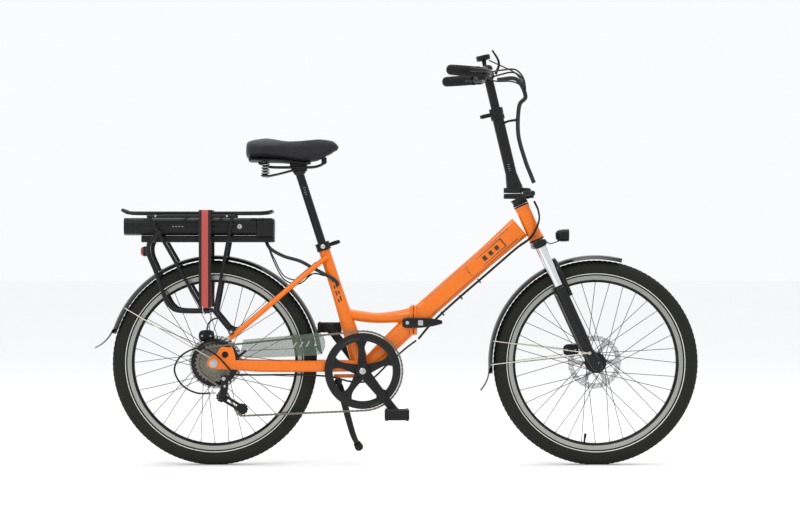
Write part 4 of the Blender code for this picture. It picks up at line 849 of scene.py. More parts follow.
    def rotor(self) -> None:
        """Cut the brake disc: a scalloped ring, drilled in slanting rows, on six arms."""
        name = f"{self.end.value}_brake_rotor"
        low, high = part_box(name)
        y = (low[1] + high[1]) / 2
        angle = np.linspace(0, 2 * math.pi, 288, endpoint=False)
        edge = self.rotor_radius - 0.9 + 0.7 * np.cos(24 * angle)
        outline = np.column_stack([np.cos(angle), np.sin(angle)]) * edge[:, None] * MM
        holes = [circle(17.4 if self.end is End.FRONT else 31.4, steps=40)]
        for row, (reach, size) in enumerate(((76.0, 1.5), (72.0, 1.9), (68.0, 1.5))):
            for k in range(36):
                turn = 2 * math.pi * (k + row * 0.28) / 36
                holes.append(circle(size, (reach * MM * math.cos(turn), reach * MM * math.sin(turn)), 10))
        inner = 24.0 if self.end is End.FRONT else 38.0
        for k in range(6):
            fan = np.linspace(0.13, 2 * math.pi / 6 - 0.13, 9) + k * math.pi / 3
            outer_arc = np.column_stack([np.cos(fan), np.sin(fan)]) * 63.5
            back = fan[::-1] * 0.9 + 0.1 * (k * math.pi / 3 + math.pi / 6) + 0.12
            inner_arc = np.column_stack([np.cos(back), np.sin(back)]) * inner
            holes.append(np.vstack([outer_arc, inner_arc]) * MM)
        disc = plate(outline, holes, 1.8, self.axle + Y * y, 0.2)
        dress(f"{name}_disc", disc, DISC_STEEL, self.body, (name,), 30)

    def valve(self) -> None:
        """Stand the valve in the rim, with its cap."""
        turn = math.radians(100 if self.end is End.REAR else 262)
        way = X * math.cos(turn) + Z * math.sin(turn)
        reach = self.rim_radius - self.rim_depth
        path = [self.axle + way * (reach - out) * MM for out in (-2, 12, 12.5, 24, 26)]
        dress(f"{self.end.value}_valve", tube(path, [3.0, 3.0, 4.0, 4.0, 2.6], 14), HOUSING, self.body)


@dataclass
class Guard:
    """A mudguard and its soft flap; Cables.stays bends its bright stays."""

    bench: Bench
    end: End
    inner_radius: float = 315.0
    half_width: float = 30.0
    sheet: float = 1.6

    def build(self) -> None:
        """Make the guard and its flap."""
        rear = self.end is End.REAR
        axle = self.bench.rear_axle if rear else self.bench.front_axle
        body = "rear_frame" if rear else "fork_lowers"
        span = (6.5, 164.0) if rear else (75.4, 186.0)
        flap = [(1.1, 161.7), (8.0, 166.5), (22.0, 170.2), (41.7, 173.0)] if rear else [
            (0.5, 183.1), (5.0, 187.1), (16.8, 190.7), (34.9, 193.6)]
        dress(f"{self.end.value}_guard_sheet", self.sheet_surface(axle, span), GUARD_SHEET, body,
              (f"{self.end.value}_mudguard",), 40)
        dress(f"{self.end.value}_guard_flap", self.flap(axle, flap), MOULDED, body)

    def sheet_surface(self, axle: Array, span: tuple[float, float]) -> Surface:
        """Sweep an arched section round the tyre: r = R + 3 - 11 |y/w|^2.6, with a raised middle bead.

        The two ends are rounded: the half width shrinks as the square root over the last 9 degrees.
        """
        turn = np.radians(np.linspace(*span, 140))[:, None]
        ends = np.minimum(turn - turn[0], turn[-1] - turn) / math.radians(5.0)
        shrink = np.sqrt(np.clip(ends, 0.02, 1))
        share = np.linspace(-1, 1, 33)[None, :]
        crown = 3.0 - 10.5 * np.abs(share) ** 2.6 + 0.9 * np.exp(-((share / 0.16) ** 2))
        crown = crown + 1.1 * np.exp(-(((np.abs(share) - 0.985) / 0.02) ** 2))
        y = share * self.half_width * shrink
        radius = self.inner_radius + crown
        both_r = np.hstack([np.broadcast_to(radius, y.shape), np.broadcast_to(radius[:, ::-1] - self.sheet,
                                                                              y.shape)]) * MM
        both_y = np.hstack([y, y[:, ::-1]]) * MM
        way = X * np.cos(turn)[..., None] + Z * np.sin(turn)[..., None]
        return grid(axle + both_r[..., None] * way + both_y[..., None] * Y)

    def flap(self, axle: Array, spots: list[tuple[float, float]]) -> Surface:
        """Loft the soft flap under the guard's end through (how far out, angle) spots, hung to a curved hem."""
        rows = []
        for (out, angle), wide in zip(spots, (24, 26, 27, 27)):
            turn = math.radians(angle)
            spot = axle + (X * math.cos(turn) + Z * math.sin(turn)) * (self.inner_radius + 1.0 + out) * MM
            rows.append(np.r_[spot, wide * MM, 1.3 * MM, 5.0])
        return loft(np.array(rows), 48, 10, Y, 1.0)


# ---- Fork -----------------------------------------------------------------------------------


@dataclass
class Fork:
    """The suspension fork: crown, chromed inner legs, lowers with arch, caliper and lamp."""

    bench: Bench
    spread: float = 63.0
    stanchion: float = 13.8
    leg: float = 17.6
    crown_top: float = 401.0

    def build(self) -> None:
        """Make every piece of the fork."""
        self.crown()
        self.legs()
        self.lowers()
        self.caliper()
        self.lamp()

    def crown(self) -> None:
        """Loft the crown across the bicycle and stand the steerer's headset cups on it."""
        steer = self.bench.steer
        _, ahead = self.bench.lean(self.bench.head_lean)
        middle = self.crown_top - 11
        rows = [(-81, 13, 9), (-78, 19, 10.6), (-62, 22, 11), (-34, 21, 10.4), (0, 23, 11), (34, 21, 10.4), (62, 22, 11)]
        rows += [(78, 19, 10.6), (81, 13, 9)]
        body = loft(stations([steer(middle, y) for y, _, _ in rows], [(w, d) for _, w, d in rows], 3.2), 40, 6, ahead)
        up, _ = self.bench.lean(self.bench.head_lean)
        caps = [lathe([(0, 13.4), (6, 13.4), (7, 12.4), (13, 12.2), (14.6, 11), (14.6, 6)],
                      steer(middle, side * self.spread), up, 40, closed=False) for side in (-1, 1)]
        dress("fork_crown_casting", [body, *caps], SATIN_BLACK, "fork", ("fork_crown",), 30)
        knobs = [lathe([(0, 17.2), (7, 17.2), (8.4, 16), (8.4, 12)], steer(middle, side * self.spread), up, 30,
                       closed=False) for side in (-1, 1)]
        dress("fork_preload_caps", knobs, ANODISED, "fork")
        steerer = lathe([(0, 11), (14.2, 11), (14.2, 128), (0, 128)], steer(middle), up, 48, closed=False)
        low_race = lathe([(13, 12), (21.5, 12), (22.5, 11.2), (19, 11), (13, 11)], steer(middle), up, 64)
        dress("steerer_tube", [steerer, low_race], ZINC, "fork", (), 30)
        self.joint_base(up)

    def joint_base(self, up: Array) -> None:
        """Stand the lower half of the post's folding joint on the head tube: a flared neck and a plate."""
        steer = self.bench.steer
        neck = [(0, 0.8), (22.6, 0.8), (23.4, 3), (22.8, 8), (21.6, 9), (22.2, 16), (25, 22), (0, 23)]
        base = lathe(neck, steer(517.5), up, 64, closed=False)
        out = unit(np.array([1.0, -1.0, 0.0]))
        fold = unit(np.array([1.0, 1.0, 0.0]))
        slab = box(steer(555) - Z * 8.5 * MM + out * 3 * MM, [25.8, 34.8, 7.5], 6, 1.2, Z, fold)
        pin = self.pin(0)
        ears = [pole(pin + fold * s * 12.6 * MM, pin + fold * s * 23.8 * MM, 8.5, 0.8, 32) for s in (-1, 1)]
        feet = [box(pin + fold * s * 18.2 * MM - Z * 8 * MM - out * 4 * MM, [5.7, 8, 6], 6, 0.8, Z, fold)
                for s in (-1, 1)]
        dress("post_joint_base", [base, slab, *ears, *feet], SATIN_BLACK, "fork", (), 30)
        dress("post_joint_pin", pole(pin - fold * 24.6 * MM, pin + fold * 24.6 * MM, 3.4, 0.4), ZINC, "fork")

    def pin(self, offset: float) -> Array:
        """A point on the post's folding axis, offset along it in millimetres."""
        fold = unit(np.array([1.0, 1.0, 0.0]))
        return self.bench.steer(555) + np.array([34.0, -34.0, 0.0]) * MM + fold * offset * MM

    def legs(self) -> None:
        """Draw the chromed inner legs; the rubber wiper rings where they enter the lowers are turned in lowers."""
        steer = self.bench.steer
        bars = [pole(steer(112, side * self.spread), steer(self.crown_top - 12, side * self.spread), self.stanchion,
                     0.5, 48)
                for side in (-1, 1)]
        dress("fork_inner_legs", bars, CHROME, "fork")

    def lowers(self) -> None:
        """Loft the sliding legs, waisted above the axle, and pipe the arch that joins them over the wheel."""
        steer = self.bench.steer
        up, ahead = self.bench.lean(self.bench.head_lean)
        skins = []
        for side in (-1, 1):
            y = side * self.spread
            rows = [(-20, 6, 7, 8), (-14, 6, 11, 14), (0, 5, 12.4, 16.6), (30, 2, 14, 15.6), (52, 0, 15.6, 15.8)]
            rows += [(80, 0, 17.2, 17.4), (200, 0, 17.6, 17.6), (236, 0, 17.8, 17.8)]
            points = [steer(height, y, fore) for height, fore, _, _ in rows]
            halves = [(w, d) for _, _, w, d in rows]
            skins.append(loft(stations(points, halves), 44, 8, Y, 0.8))
            collar = [(14.1, 249.5), (17.2, 249.5), (19.6, 247), (19.8, 236), (18.0, 232), (14.1, 232)]
            skins.append(lathe(collar, steer(0, y), up, 56))
            eye = self.bench.front_axle + Y * (side * 52) * MM
            skins.append(lathe([(0, 14), (15, 14), (16.5, 12), (16.5, 0), (0, 0)], eye, Y * side, 44, False))
        half = [(214, 63), (262, 63), (300, 55), (322, 36), (328.5, 12)]
        arch = [steer(h, -y, 21.0) for h, y in half] + [steer(h, y, 21.0) for h, y in reversed(half)]
        line = curve(np.array(arch), 8)
        bridge = np.column_stack([line, np.full(len(line), 6.8 * MM), np.full(len(line), 5.0 * MM),
                                  np.full(len(line), 3.0)])
        skins.append(loft(bridge, 28, 1, ahead, 1))
        dress("fork_lower_casting", skins, SATIN_BLACK, "fork_lowers", ("fork_lowers",), 32)
        wipers = [lathe([(13.9, 255.5), (16.2, 254.5), (17.0, 249.6), (13.9, 249.6)], steer(0, s * 63), up, 48)
                  for s in (-1, 1)]
        dress("fork_wipers", wipers, TYRE_RUBBER, "fork_lowers")
        nuts = []
        for side in (-1, 1):
            spot = self.bench.front_axle + Y * side * 66 * MM
            nuts.append(lathe([(0, 8), (4.8, 8), (4.8, 5.5), (8.4, 5.5), (8.8, 4.8), (8.8, 1.5), (11.5, 1.5), (11.5, 0),
                                        (0, 0)], spot, Y * side, 6 * 5, False))
        dress("front_axle_nuts", nuts, ZINC, "fork_lowers", (), 30)

    def caliper(self) -> None:
        """Loft the brake caliper round the disc, in two halves with their bolts."""
        low, high = corners("front_brake_caliper")
        caliper_at("front_caliper", low, high, "fork_lowers", "front_brake_caliper")

    def lamp(self) -> None:
        """Loft the head lamp's hood, set a lens in its front and hang it on a bent strap."""
        wheel = (self.bench.front_axle - self.bench.rear_axle)[0] / MM
        rows = [(-118, 677.5, 9, 9), (-112, 678.2, 16, 15), (-104, 679, 19.4, 17.4), (-84, 680, 20.4, 18.2),
                (-79, 680, 20, 17.8)]
        hood = loft(stations([self.bench.at(wheel + x, z) for x, z, _, _ in rows], [(w, d) for _, _, w, d in rows],
                             2.6), 48, 8)
        fins = [loft(stations([self.bench.at(wheel + x + k, 679.3) for k in (0, 1.4)], [(21, 18.8)] * 2, 2.6), 48, 2)
                for x in (-100, -95, -90)]
        route = self.bench.run((wheel - 107, 664, 0), (wheel - 120, 659, 0), (wheel - 134, 655, 0))
        route = np.vstack([route, self.bench.steer(385, 0, 26), self.bench.steer(384, 0, 22)])
        line = curve(route, 6)
        strap = loft(np.column_stack([line, np.full(len(line), 7 * MM), np.full(len(line), 1.6 * MM),
                                      np.full(len(line), 4)]),
                     20, 1, Y, 0.5)
        dress("head_lamp_hood", [hood, *fins, strap], MOULDED, "fork", ("headlight",), 34)
        lens = lathe([(0, 1.6), (10, 1.2), (15.5, 0.2), (16.2, -1.5), (0, -1.5)], self.bench.at(wheel - 78.4, 680),
                     X, 48, False)
        dress("head_lamp_lens", lens, CLEAR_LENS, "fork")


def caliper_at(name: str, low: Array, high: Array, body: str, node: str) -> None:
    """Loft a two-part caliper over a disc in the box of its CAD node, with bolts.

    Args:
        name: the piece's name.
        low: the box's lowest corner.
        high: the box's highest corner.
        body: the CAD body.
        node: the CAD node that it stands for.
    """
    middle, half = (low + high) / 2, (high - low) / 2
    halves = []
    for side in (-1, 1):
        start, end = middle[1] + side * 2.2 * MM, middle[1] + side * half[1] * 0.98
        rows = [np.r_[middle[0], start, middle[2], half[0] * 0.9, half[2] * 0.86, 3.4]]
        rows += [np.r_[middle[0], start * 0.5 + end * 0.5, middle[2], half[0] * 0.98, half[2] * 0.96, 3.0]]
        rows += [np.r_[middle[0], end, middle[2], half[0] * 0.62, half[2] * 0.62, 2.6]]
        halves.append(loft(np.array(rows), 36, 8, X, 0.8))
    dress(name, halves, ANODISED, body, (node,), 34)
    heads = [bolt(middle + X * k * half[0] * 0.55 - Y * half[1] * 0.98, -Y, 3.2, 2.2) for k in (-1, 1)]
    dress(f"{name}_bolts", heads, ZINC, body)


# ---- Frame ----------------------------------------------------------------------------------


@dataclass
class RearFrame:
    """The orange rear half: seat tube, curved tube, strut, stays, dropouts and its hinge plate."""

    bench: Bench
    seat_length: float = 399.0
    seat_radius: float = 16.8
    stay_radius: float = 7.8
    hinge_x: float = 589.0
    hinge_y: float = 47.0
    hinge_low: float = 385.0
    hinge_high: float = 470.0

    def build(self) -> None:
        """Make every piece of the rear half."""
        self.main_tubes()
        for side, word in ((1, "left"), (-1, "right")):
            self.chainstay(side, word)
            self.seatstay(side, word)
        self.clamp()
        self.latch()
        self.stand()
        self.marks()

    def main_tubes(self) -> None:
        """Loft the seat tube, which swells to the bracket, and the two tubes that run on to the hinge."""
        bench, seat = self.bench, self.bench.seat
        top = self.seat_length
        rows = [(-2, 20, 26), (40, 19.8, 26), (120, 19, 22.6), (190, 17.6, 19.6), (260, 16.8, 17.8),
                (top - 2, 16.8, 16.8)]
        tube_up = loft(stations([seat(h) for h, _, _ in rows], [(w, d) for _, w, d in rows]), 48, 10)
        shell = lathe([(9, 33.6), (20.2, 33.6), (21.2, 32.6), (21.2, -32.6), (20.2, -33.6), (9, -33.6)],
                      bench.bracket, Y, 72)
        bend = bench.sections((388, 449, 0, 13, 14), (430, 440, 0, 15, 16), (482, 434.5, 0, 16, 15.5),
                              (540, 438, 0, 18, 18),
                              (579, 440, 0, 24, 25))
        strut = bench.sections((439, 279, 0, 16, 20), (490, 328, 0, 18, 26), (560, 396, 0, 21, 28), (579, 411, 0, 22, 26))
        plate_mid = (self.hinge_low + self.hinge_high) / 2
        slab = box(bench.at(self.hinge_x - 5.9, plate_mid, 4), [30, 5.4, 42.4], 7, 0.9)
        tabs = [box(bench.at(self.hinge_x - 5.9, z, 38), [9, 5.4, 10.3], 7, 0.6)
                for z in (self.hinge_low + 10.5, self.hinge_high - 10.5)]
        lugs = [pole(bench.at(self.hinge_x, a, self.hinge_y), bench.at(self.hinge_x, b, self.hinge_y), 11, 0.8, 40)
                for a, b in ((self.hinge_low, self.hinge_low + 20.9), (self.hinge_high - 20.9, self.hinge_high))]
        stand_plate = box(bench.at(395, 262.5, 4), [22, 42.5, 5], 7, 0.8)
        whole = Surface.join(tube_up, shell, loft(bend, 48, 10), loft(strut, 48, 10), slab, *tabs, *lugs, stand_plate)
        dress("rear_main_tubes", whole, FRAME_PAINT, "rear_frame", ("main_frame_rear",), 30)
        bead = self.bead(seat(182, 0, 0), 15.0, bench.lean(bench.seat_lean)[1])
        dress("rear_weld_beads", bead, FRAME_PAINT, "rear_frame")
        pin = pole(bench.at(self.hinge_x, self.hinge_low - 3, self.hinge_y), bench.at(self.hinge_x, self.hinge_high + 3,
                   self.hinge_y), 5, 0.8, 30)
        cups = [lathe([(9, 37), (16, 37), (19.6, 36), (19.6, 33.4), (9, 33.4)], bench.bracket, Y * side, 48)
                for side in (-1, 1)]
        dress("frame_hinge_pin", [pin, *cups], ZINC, "rear_frame")

    @staticmethod
    def bead(spot: Array, radius: float, way: Array) -> Surface:
        """A weld bead: a ring whose height ripples, r = R + 0.25 sin 40 a, in millimetres."""
        angle = np.linspace(0, 2 * math.pi, 120, endpoint=False)[:, None]
        first, second = Y, np.cross(way, Y)
        ring = first * np.cos(angle) + second * np.sin(angle)
        line = spot + ring * (radius + 0.25 * np.sin(40 * angle)) * MM + unit(way) * 12 * MM
        return tube(line, 1.6, 10, loop=True)

    def chainstay(self, side: int, word: str) -> None:
        """Loft an oval chainstay and the dropout plate welded in its end."""
        bench = self.bench
        stay = bench.sections((432, 292.5, side * 20, 7.8, 16), (350, 292.5, side * 28.5, 7.8, 17),
                              (295, 292.5, side * 38.5, 7.8, 17), (150, 292.5, side * 54, 7.8, 16.5),
                              (100, 294.5, side * 61, 7, 15.5), (50, 299, side * 71.5, 5.4, 14))
        low, high = corners(f"chainstay_{word}")
        y = side * 72.5
        outline = np.array([(64, 284), (64, 322), (54, 352), (48, 392), (38, 394), (22, 362), (8, 330), (-10, 322),
                            (-18, 308),
                            (-17, 296), (-6, 288), (20, 285)], float)
        outline = outline - [0, self.bench.rear_axle[2] / MM]
        outline[:, 1] = np.clip(outline[:, 1], (low[2] - self.bench.rear_axle[2]) / MM + 0.5,
                                (high[2] - self.bench.rear_axle[2]) / MM - 0.5)
        ring = curve(np.vstack([outline, outline[:1]]), 6)[:-1] * MM
        holes = [circle(7.2, steps=32), circle(9.0, (34 * MM, 26 * MM), 32)]
        flat = plate(ring, holes, 6.0, self.bench.rear_axle + Y * y * MM, 0.5)
        dress(f"chainstay_{word}_tube", [loft(stay, 44, 10, Y), flat], FRAME_PAINT, "rear_frame",
              (f"chainstay_{word}",), 30)
        plug = lathe([(0, 2.2), (8.2, 2.2), (9.6, 3.3), (9.9, 0), (0, 0)],
                     bench.at(34, 0, y) + Z * (self.bench.rear_axle[2] + 26 * MM) + Y * side * 0.6 * MM, Y * side, 30,
                     False)
        nut = lathe([(0, 11), (5, 11), (5, 7.5), (8.6, 7.5), (9, 6.8), (9, 2), (12.5, 2), (12.5, 0), (0, 0)],
                    bench.rear_axle + Y * side * 75.7 * MM, Y * side, 30, False)
        dress(f"dropout_plug_{word}", plug, TYRE_RUBBER, "rear_frame")
        dress(f"rear_axle_nut_{word}", nut, ZINC, "rear_frame", (), 24)

    def seatstay(self, side: int, word: str) -> None:
        """Carry a slim round stay from the seat tube down to its dropout."""
        path = self.bench.run((333, 617, side * 18.5), (290, 581.5, side * 34), (235, 535, side * 45.5),
                              (120, 437, side * 56),
                              (46, 374.5, side * 62.5))
        stay = tube(curve(path, 10), self.stay_radius, 28, 1.5)
        dress(f"seatstay_{word}_tube", stay, FRAME_PAINT, "rear_frame", (f"seatstay_{word}",), 30)

    def clamp(self) -> None:
        """Turn the seat clamp's collar with its ear, and add the quick-release lever."""
        up, ahead = self.bench.lean(self.bench.seat_lean)
        low, high = corners("seat_clamp")
        centre = (low + high) / 2
        ring = [(17.6, 12), (20.8, 12), (21.6, 11), (21.6, 7), (20.9, 6), (20.9, -6), (21.6, -7), (21.6, -11),
                (20.8, -12), (17.6, -12)]
        ear = box(centre - ahead * 0.2 * MM - Y * 21.8 * MM, [3, 6.5, 9.6], 5, 0.8, up, Y)
        dress("seat_clamp_collar", [lathe(ring, centre, up, 72), ear], ANODISED, "rear_frame",
              ("seat_clamp",), 30)
        pivot = centre + Y * 27.2 * MM
        lever("seat_clamp_lever", pivot, up, Y, ahead, "seat_clamp_lever")
        nub = centre - Y * 26 * MM
        dress("seat_clamp_nut", lathe([(0, 8), (4, 7.6), (7, 5), (7.6, 0), (0, 0)], nub + Y * 2 * MM, -Y, 24, False),
              ZINC, "rear_frame")

    def latch(self) -> None:
        """Loft the frame's clamp lever on the drive side, with its safety button and pivot screw."""
        rows = [(556, 421, 5, 9), (562, 421, 7.2, 14), (572, 421, 8, 15.4), (606, 421, 7, 15.2), (640, 422, 6, 12.4),
                (662, 422.7, 5, 8.2), (674.5, 423, 3.6, 4.6)]
        blade = loft(stations([self.bench.at(x, z, -36) for x, z, _, _ in rows], [(w, d) for _, _, w, d in rows],
                              3.0), 40, 8,
                     Y, 0.8)
        dress("frame_latch_lever", blade, SATIN_BLACK, "frame_latch", ("frame_latch",), 30)
        button = box(self.bench.at(610, 421, -43.4), [7.5, 7.5, 1.4], 8, 0.4, Y, X)
        screw = bolt(self.bench.at(571, 421, -43.6), -Y, 5.2, 1.8)
        dress("frame_latch_button", [button, screw], ZINC, "frame_latch")

    def stand(self) -> None:
        """Bend the side stand's rod to its rubber foot, under a knuckle that carries its spring."""
        path = self.bench.run((366, 243, 15), (373, 222, 20), (394, 140, 38), (409, 86, 60), (422, 54, 90))
        head = pole(self.bench.at(366, 245.5, 4.4), self.bench.at(366, 245.5, 25.6), 11.4, 0.8, 36)
        line = curve(path, 10)
        wide = np.interp(np.linspace(0, 1, len(line)), [0, 0.25, 0.8, 1], [7.5, 10.5, 9.0, 8.0]) * MM
        thick = np.interp(np.linspace(0, 1, len(line)), [0, 0.3, 1], [6.5, 7.6, 6.4]) * MM
        leg = loft(np.column_stack([line, thick, wide, np.full(len(line), 3.0)]), 36, 1, Y, 1)
        dress("side_stand_leg", [head, leg], SATIN_BLACK, "kickstand", ("kickstand",), 30)
        foot = tube(np.linspace(self.bench.at(420.5, 58, 84), self.bench.at(428, 42, 104), 7),
                    [10.4, 11.4, 11.0, 12.2, 11.8, 13.0, 12.4], 26, 1.6)
        dress("side_stand_foot", foot, TYRE_RUBBER, "kickstand")
        spring = tube(curve(self.bench.run((353, 247, 8), (351, 236, 14), (356, 222, 20)), 8), 2.4, 14, 0.6)
        dress("side_stand_spring", spring, ZINC, "kickstand")

    def marks(self) -> None:
        """Lay a plain row of tapering dashes up the seat tube in dark film, on its drive side."""
        seat, bench = self.bench.seat, self.bench
        up, ahead = bench.lean(bench.seat_lean)
        bars = []
        for k in range(4):
            height = 214 + k * 21
            for row in range(2):
                depth = 3.4 if row else -4.4
                long = 15 if (k + row) % 2 else 10
                bars.append(film_on_tube(seat(height + 2 * row), up, ahead, -Y, self.seat_radius + 0.9,
                                         self.seat_radius + 1.4,
                                         depth, 2.2, long))
        dress("seat_tube_dashes", bars, DECAL, "rear_frame")


def film_on_tube(spot: Array, up: Array, ahead: Array, out: Array, wide: float, deep: float, at: float, half: float,
                 length: float) -> Surface:
    """Wrap a thin strip of film round an oval tube: the oval is wide along out and deep along ahead.

    y = w sqrt(1 - (x/d)^2) over the strip's half width, 0.15 mm proud of the paint.
    """
    across = np.linspace(at - half, at + half, 7)[None, :]
    along = np.linspace(0, length, 6)[:, None]
    rise = (wide + 0.15) * np.sqrt(np.clip(1 - (across / (deep + 0.15)) ** 2, 0, 1)) + 0 * along
    top = spot + (up * along[..., None] + ahead * (across + 0 * along)[..., None] + out * rise[..., None]) * MM
    under = top - out * 0.5 * MM
    return grid(np.concatenate([top, under[:, ::-1]], axis=1))


def lever(name: str, pivot: Array, up: Array, out: Array, ahead: Array, body: str) -> None:
    """Loft a quick-release lever: an eye at its cam, a slim blade and a thumb tip, in place of its CAD node.

    Args:
        name: the CAD node.
        pivot: the cam's middle.
        up: the axis that it turns about.
        out: away from the collar.
        ahead: along the closed blade.
        body: the CAD body.
    """
    rows = [(-4.5, 0, 5, 2.6), (-3, 0, 6.4, 3.6), (2, 0, 7, 4.2), (12, 0.4, 5.6, 3.4), (30, 1, 6.2, 3.2),
            (44, 2.6, 6.0, 2.6),
            (52, 4, 4.4, 1.8)]
    points = [pivot + (ahead * along + out * off) * MM for along, off, _, _ in rows]
    blade = loft(stations(points, [(w, d) for _, _, w, d in rows], 3.0), 32, 8, up, 0.5)
    dress(f"{name}_blade", blade, ANODISED, body, (name,), 32)
    cam = [pivot - up * 6.2 * MM, pivot + up * 6.2 * MM]
    dress(f"{name}_cam", pole(cam[0], cam[1], 3.0, 0.5), ZINC, body)


@dataclass
class FrontFrame:
    """The orange front half: the beam, the head tube, its cups and the swinging hinge plate."""

    bench: Bench
    half_width: float = 23.0
    half_depth: float = 30.0
    head_low: float = 402.0
    head_high: float = 517.5
    head_radius: float = 22.5
    hinge_x: float = 589.0

    def build(self) -> None:
        """Make every piece of the front half."""
        bench = self.bench
        rows = [(600, 433.5, 23, 35.5), (618, 449.5, 23, 31.5), (640, 471, 23, 30), (720, 541.5, 23, 30),
                (800, 611.5, 23, 30),
                (868, 671.4, 20.4, 32.6), (905, 704, 18, 34)]
        beam = loft(bench.squared(3.5, *[(x, z, 0, w, d) for x, z, w, d in rows]), 64, 10)
        head = self.head_profile()
        plate_mid = 427.5
        slab = box(bench.at(self.hinge_x + 5.9, plate_mid, 4), [30, 5.4, 42.4], 7, 0.9)
        tab = box(bench.at(self.hinge_x + 5.9, plate_mid, 38), [9, 5.4, 20.6], 7, 0.6)
        lug = pole(bench.at(self.hinge_x, 406.9, 47), bench.at(self.hinge_x, 448.1, 47), 11, 0.8, 40)
        dress("front_beam", [beam, head, slab, tab, lug], FRAME_PAINT, "front_frame", ("main_frame_front",), 30)
        self.cups()
        self.marks(np.array([(x, z) for x, z, _, _ in rows]))

    def head_profile(self) -> Surface:
        """Turn the head tube: a plain barrel with a thicker ring at each end."""
        up, _ = self.bench.lean(self.bench.head_lean)
        low, high, r = self.head_low + 0.4, self.head_high - 0.4, self.head_radius
        outer = [(r, low), (r, low + 12), (r - 1.2, low + 14), (r - 1.2, high - 14), (r, high - 12), (r, high)]
        profile = [(15.5, low)] + outer + [(15.5, high)]
        return lathe(profile, self.bench.steer(0), up, 72)

    def cups(self) -> None:
        """Turn the headset's two black cups, seated on the head tube's ends."""
        up, _ = self.bench.lean(self.bench.head_lean)
        rings = []
        for height, way in ((self.head_low, 1), (self.head_high, -1)):
            ring = [(22.7, 0.2), (23.1, 0.2), (23.3, 3.5), (22.7, 4.5)]
            rings.append(lathe([(r, height + way * h) for r, h in ring], self.bench.steer(0), up, 72))
        dress("headset_cups", rings, ANODISED, "front_frame")

    def marks(self, line: Array) -> None:
        """Lay the beam's dark film on both flanks: a line along each edge, and a framed block near the head.

        Each mark follows the beam's side as a thin raised sheet on the flank's superellipse,
        y = w (1 - |s/d|^3.5)^(1/3.5), where s is the height above the beam's middle.
        """
        skins = []
        for side in (-1, 1):
            for up in (-21.5, 22.0):
                skins.append(self.film(line, side, 0.10, 0.93, up - 0.9, up + 0.9))
            skins.append(self.film(line, side, 0.50, 0.507, -15, 15))
            skins.append(self.film(line, side, 0.83, 0.837, -15, 15))
            skins.append(self.film(line, side, 0.50, 0.837, 13.6, 15))
            skins.append(self.film(line, side, 0.50, 0.837, -15, -13.6))
            for k in range(5):
                start = 0.53 + k * 0.057
                skins.append(self.film(line, side, start, start + 0.030, -8.5 + k * 0.6, 8.5 - k * 0.6))
        dress("beam_film", skins, DECAL, "front_frame")

    def film(self, line: Array, side: int, start: float, end: float, low: float, high: float) -> Surface:
        """One strip of film on the beam's flank, between two shares of its length and two heights."""
        shares = np.linspace(start, end, max(3, int((end - start) * 60)))
        length = np.concatenate([[0], np.linalg.norm(np.diff(line, axis=0), axis=1).cumsum()])
        x = np.interp(shares * length[-1], length, line[:, 0])
        z = np.interp(shares * length[-1], length, line[:, 1])
        way = unit(np.gradient(np.column_stack([x, z]), axis=0))
        s = np.linspace(low, high, 9)[None, :]
        rise = self.half_width * (1 - np.abs(s / self.half_depth) ** 3.5) ** (1 / 3.5) + 0.12 + 0 * shares[:, None]
        spot = np.stack([x[:, None] - way[:, 1:] * s, side * rise, z[:, None] + way[:, :1] * s], -1) * MM
        top = spot + [self.bench.rear_axle[0], 0, 0]
        under = top - Y * side * 0.6 * MM
        return grid(np.concatenate([top, under[:, ::-1]], axis=1))


# ---- Post, handlebar and saddle -------------------------------------------------------------


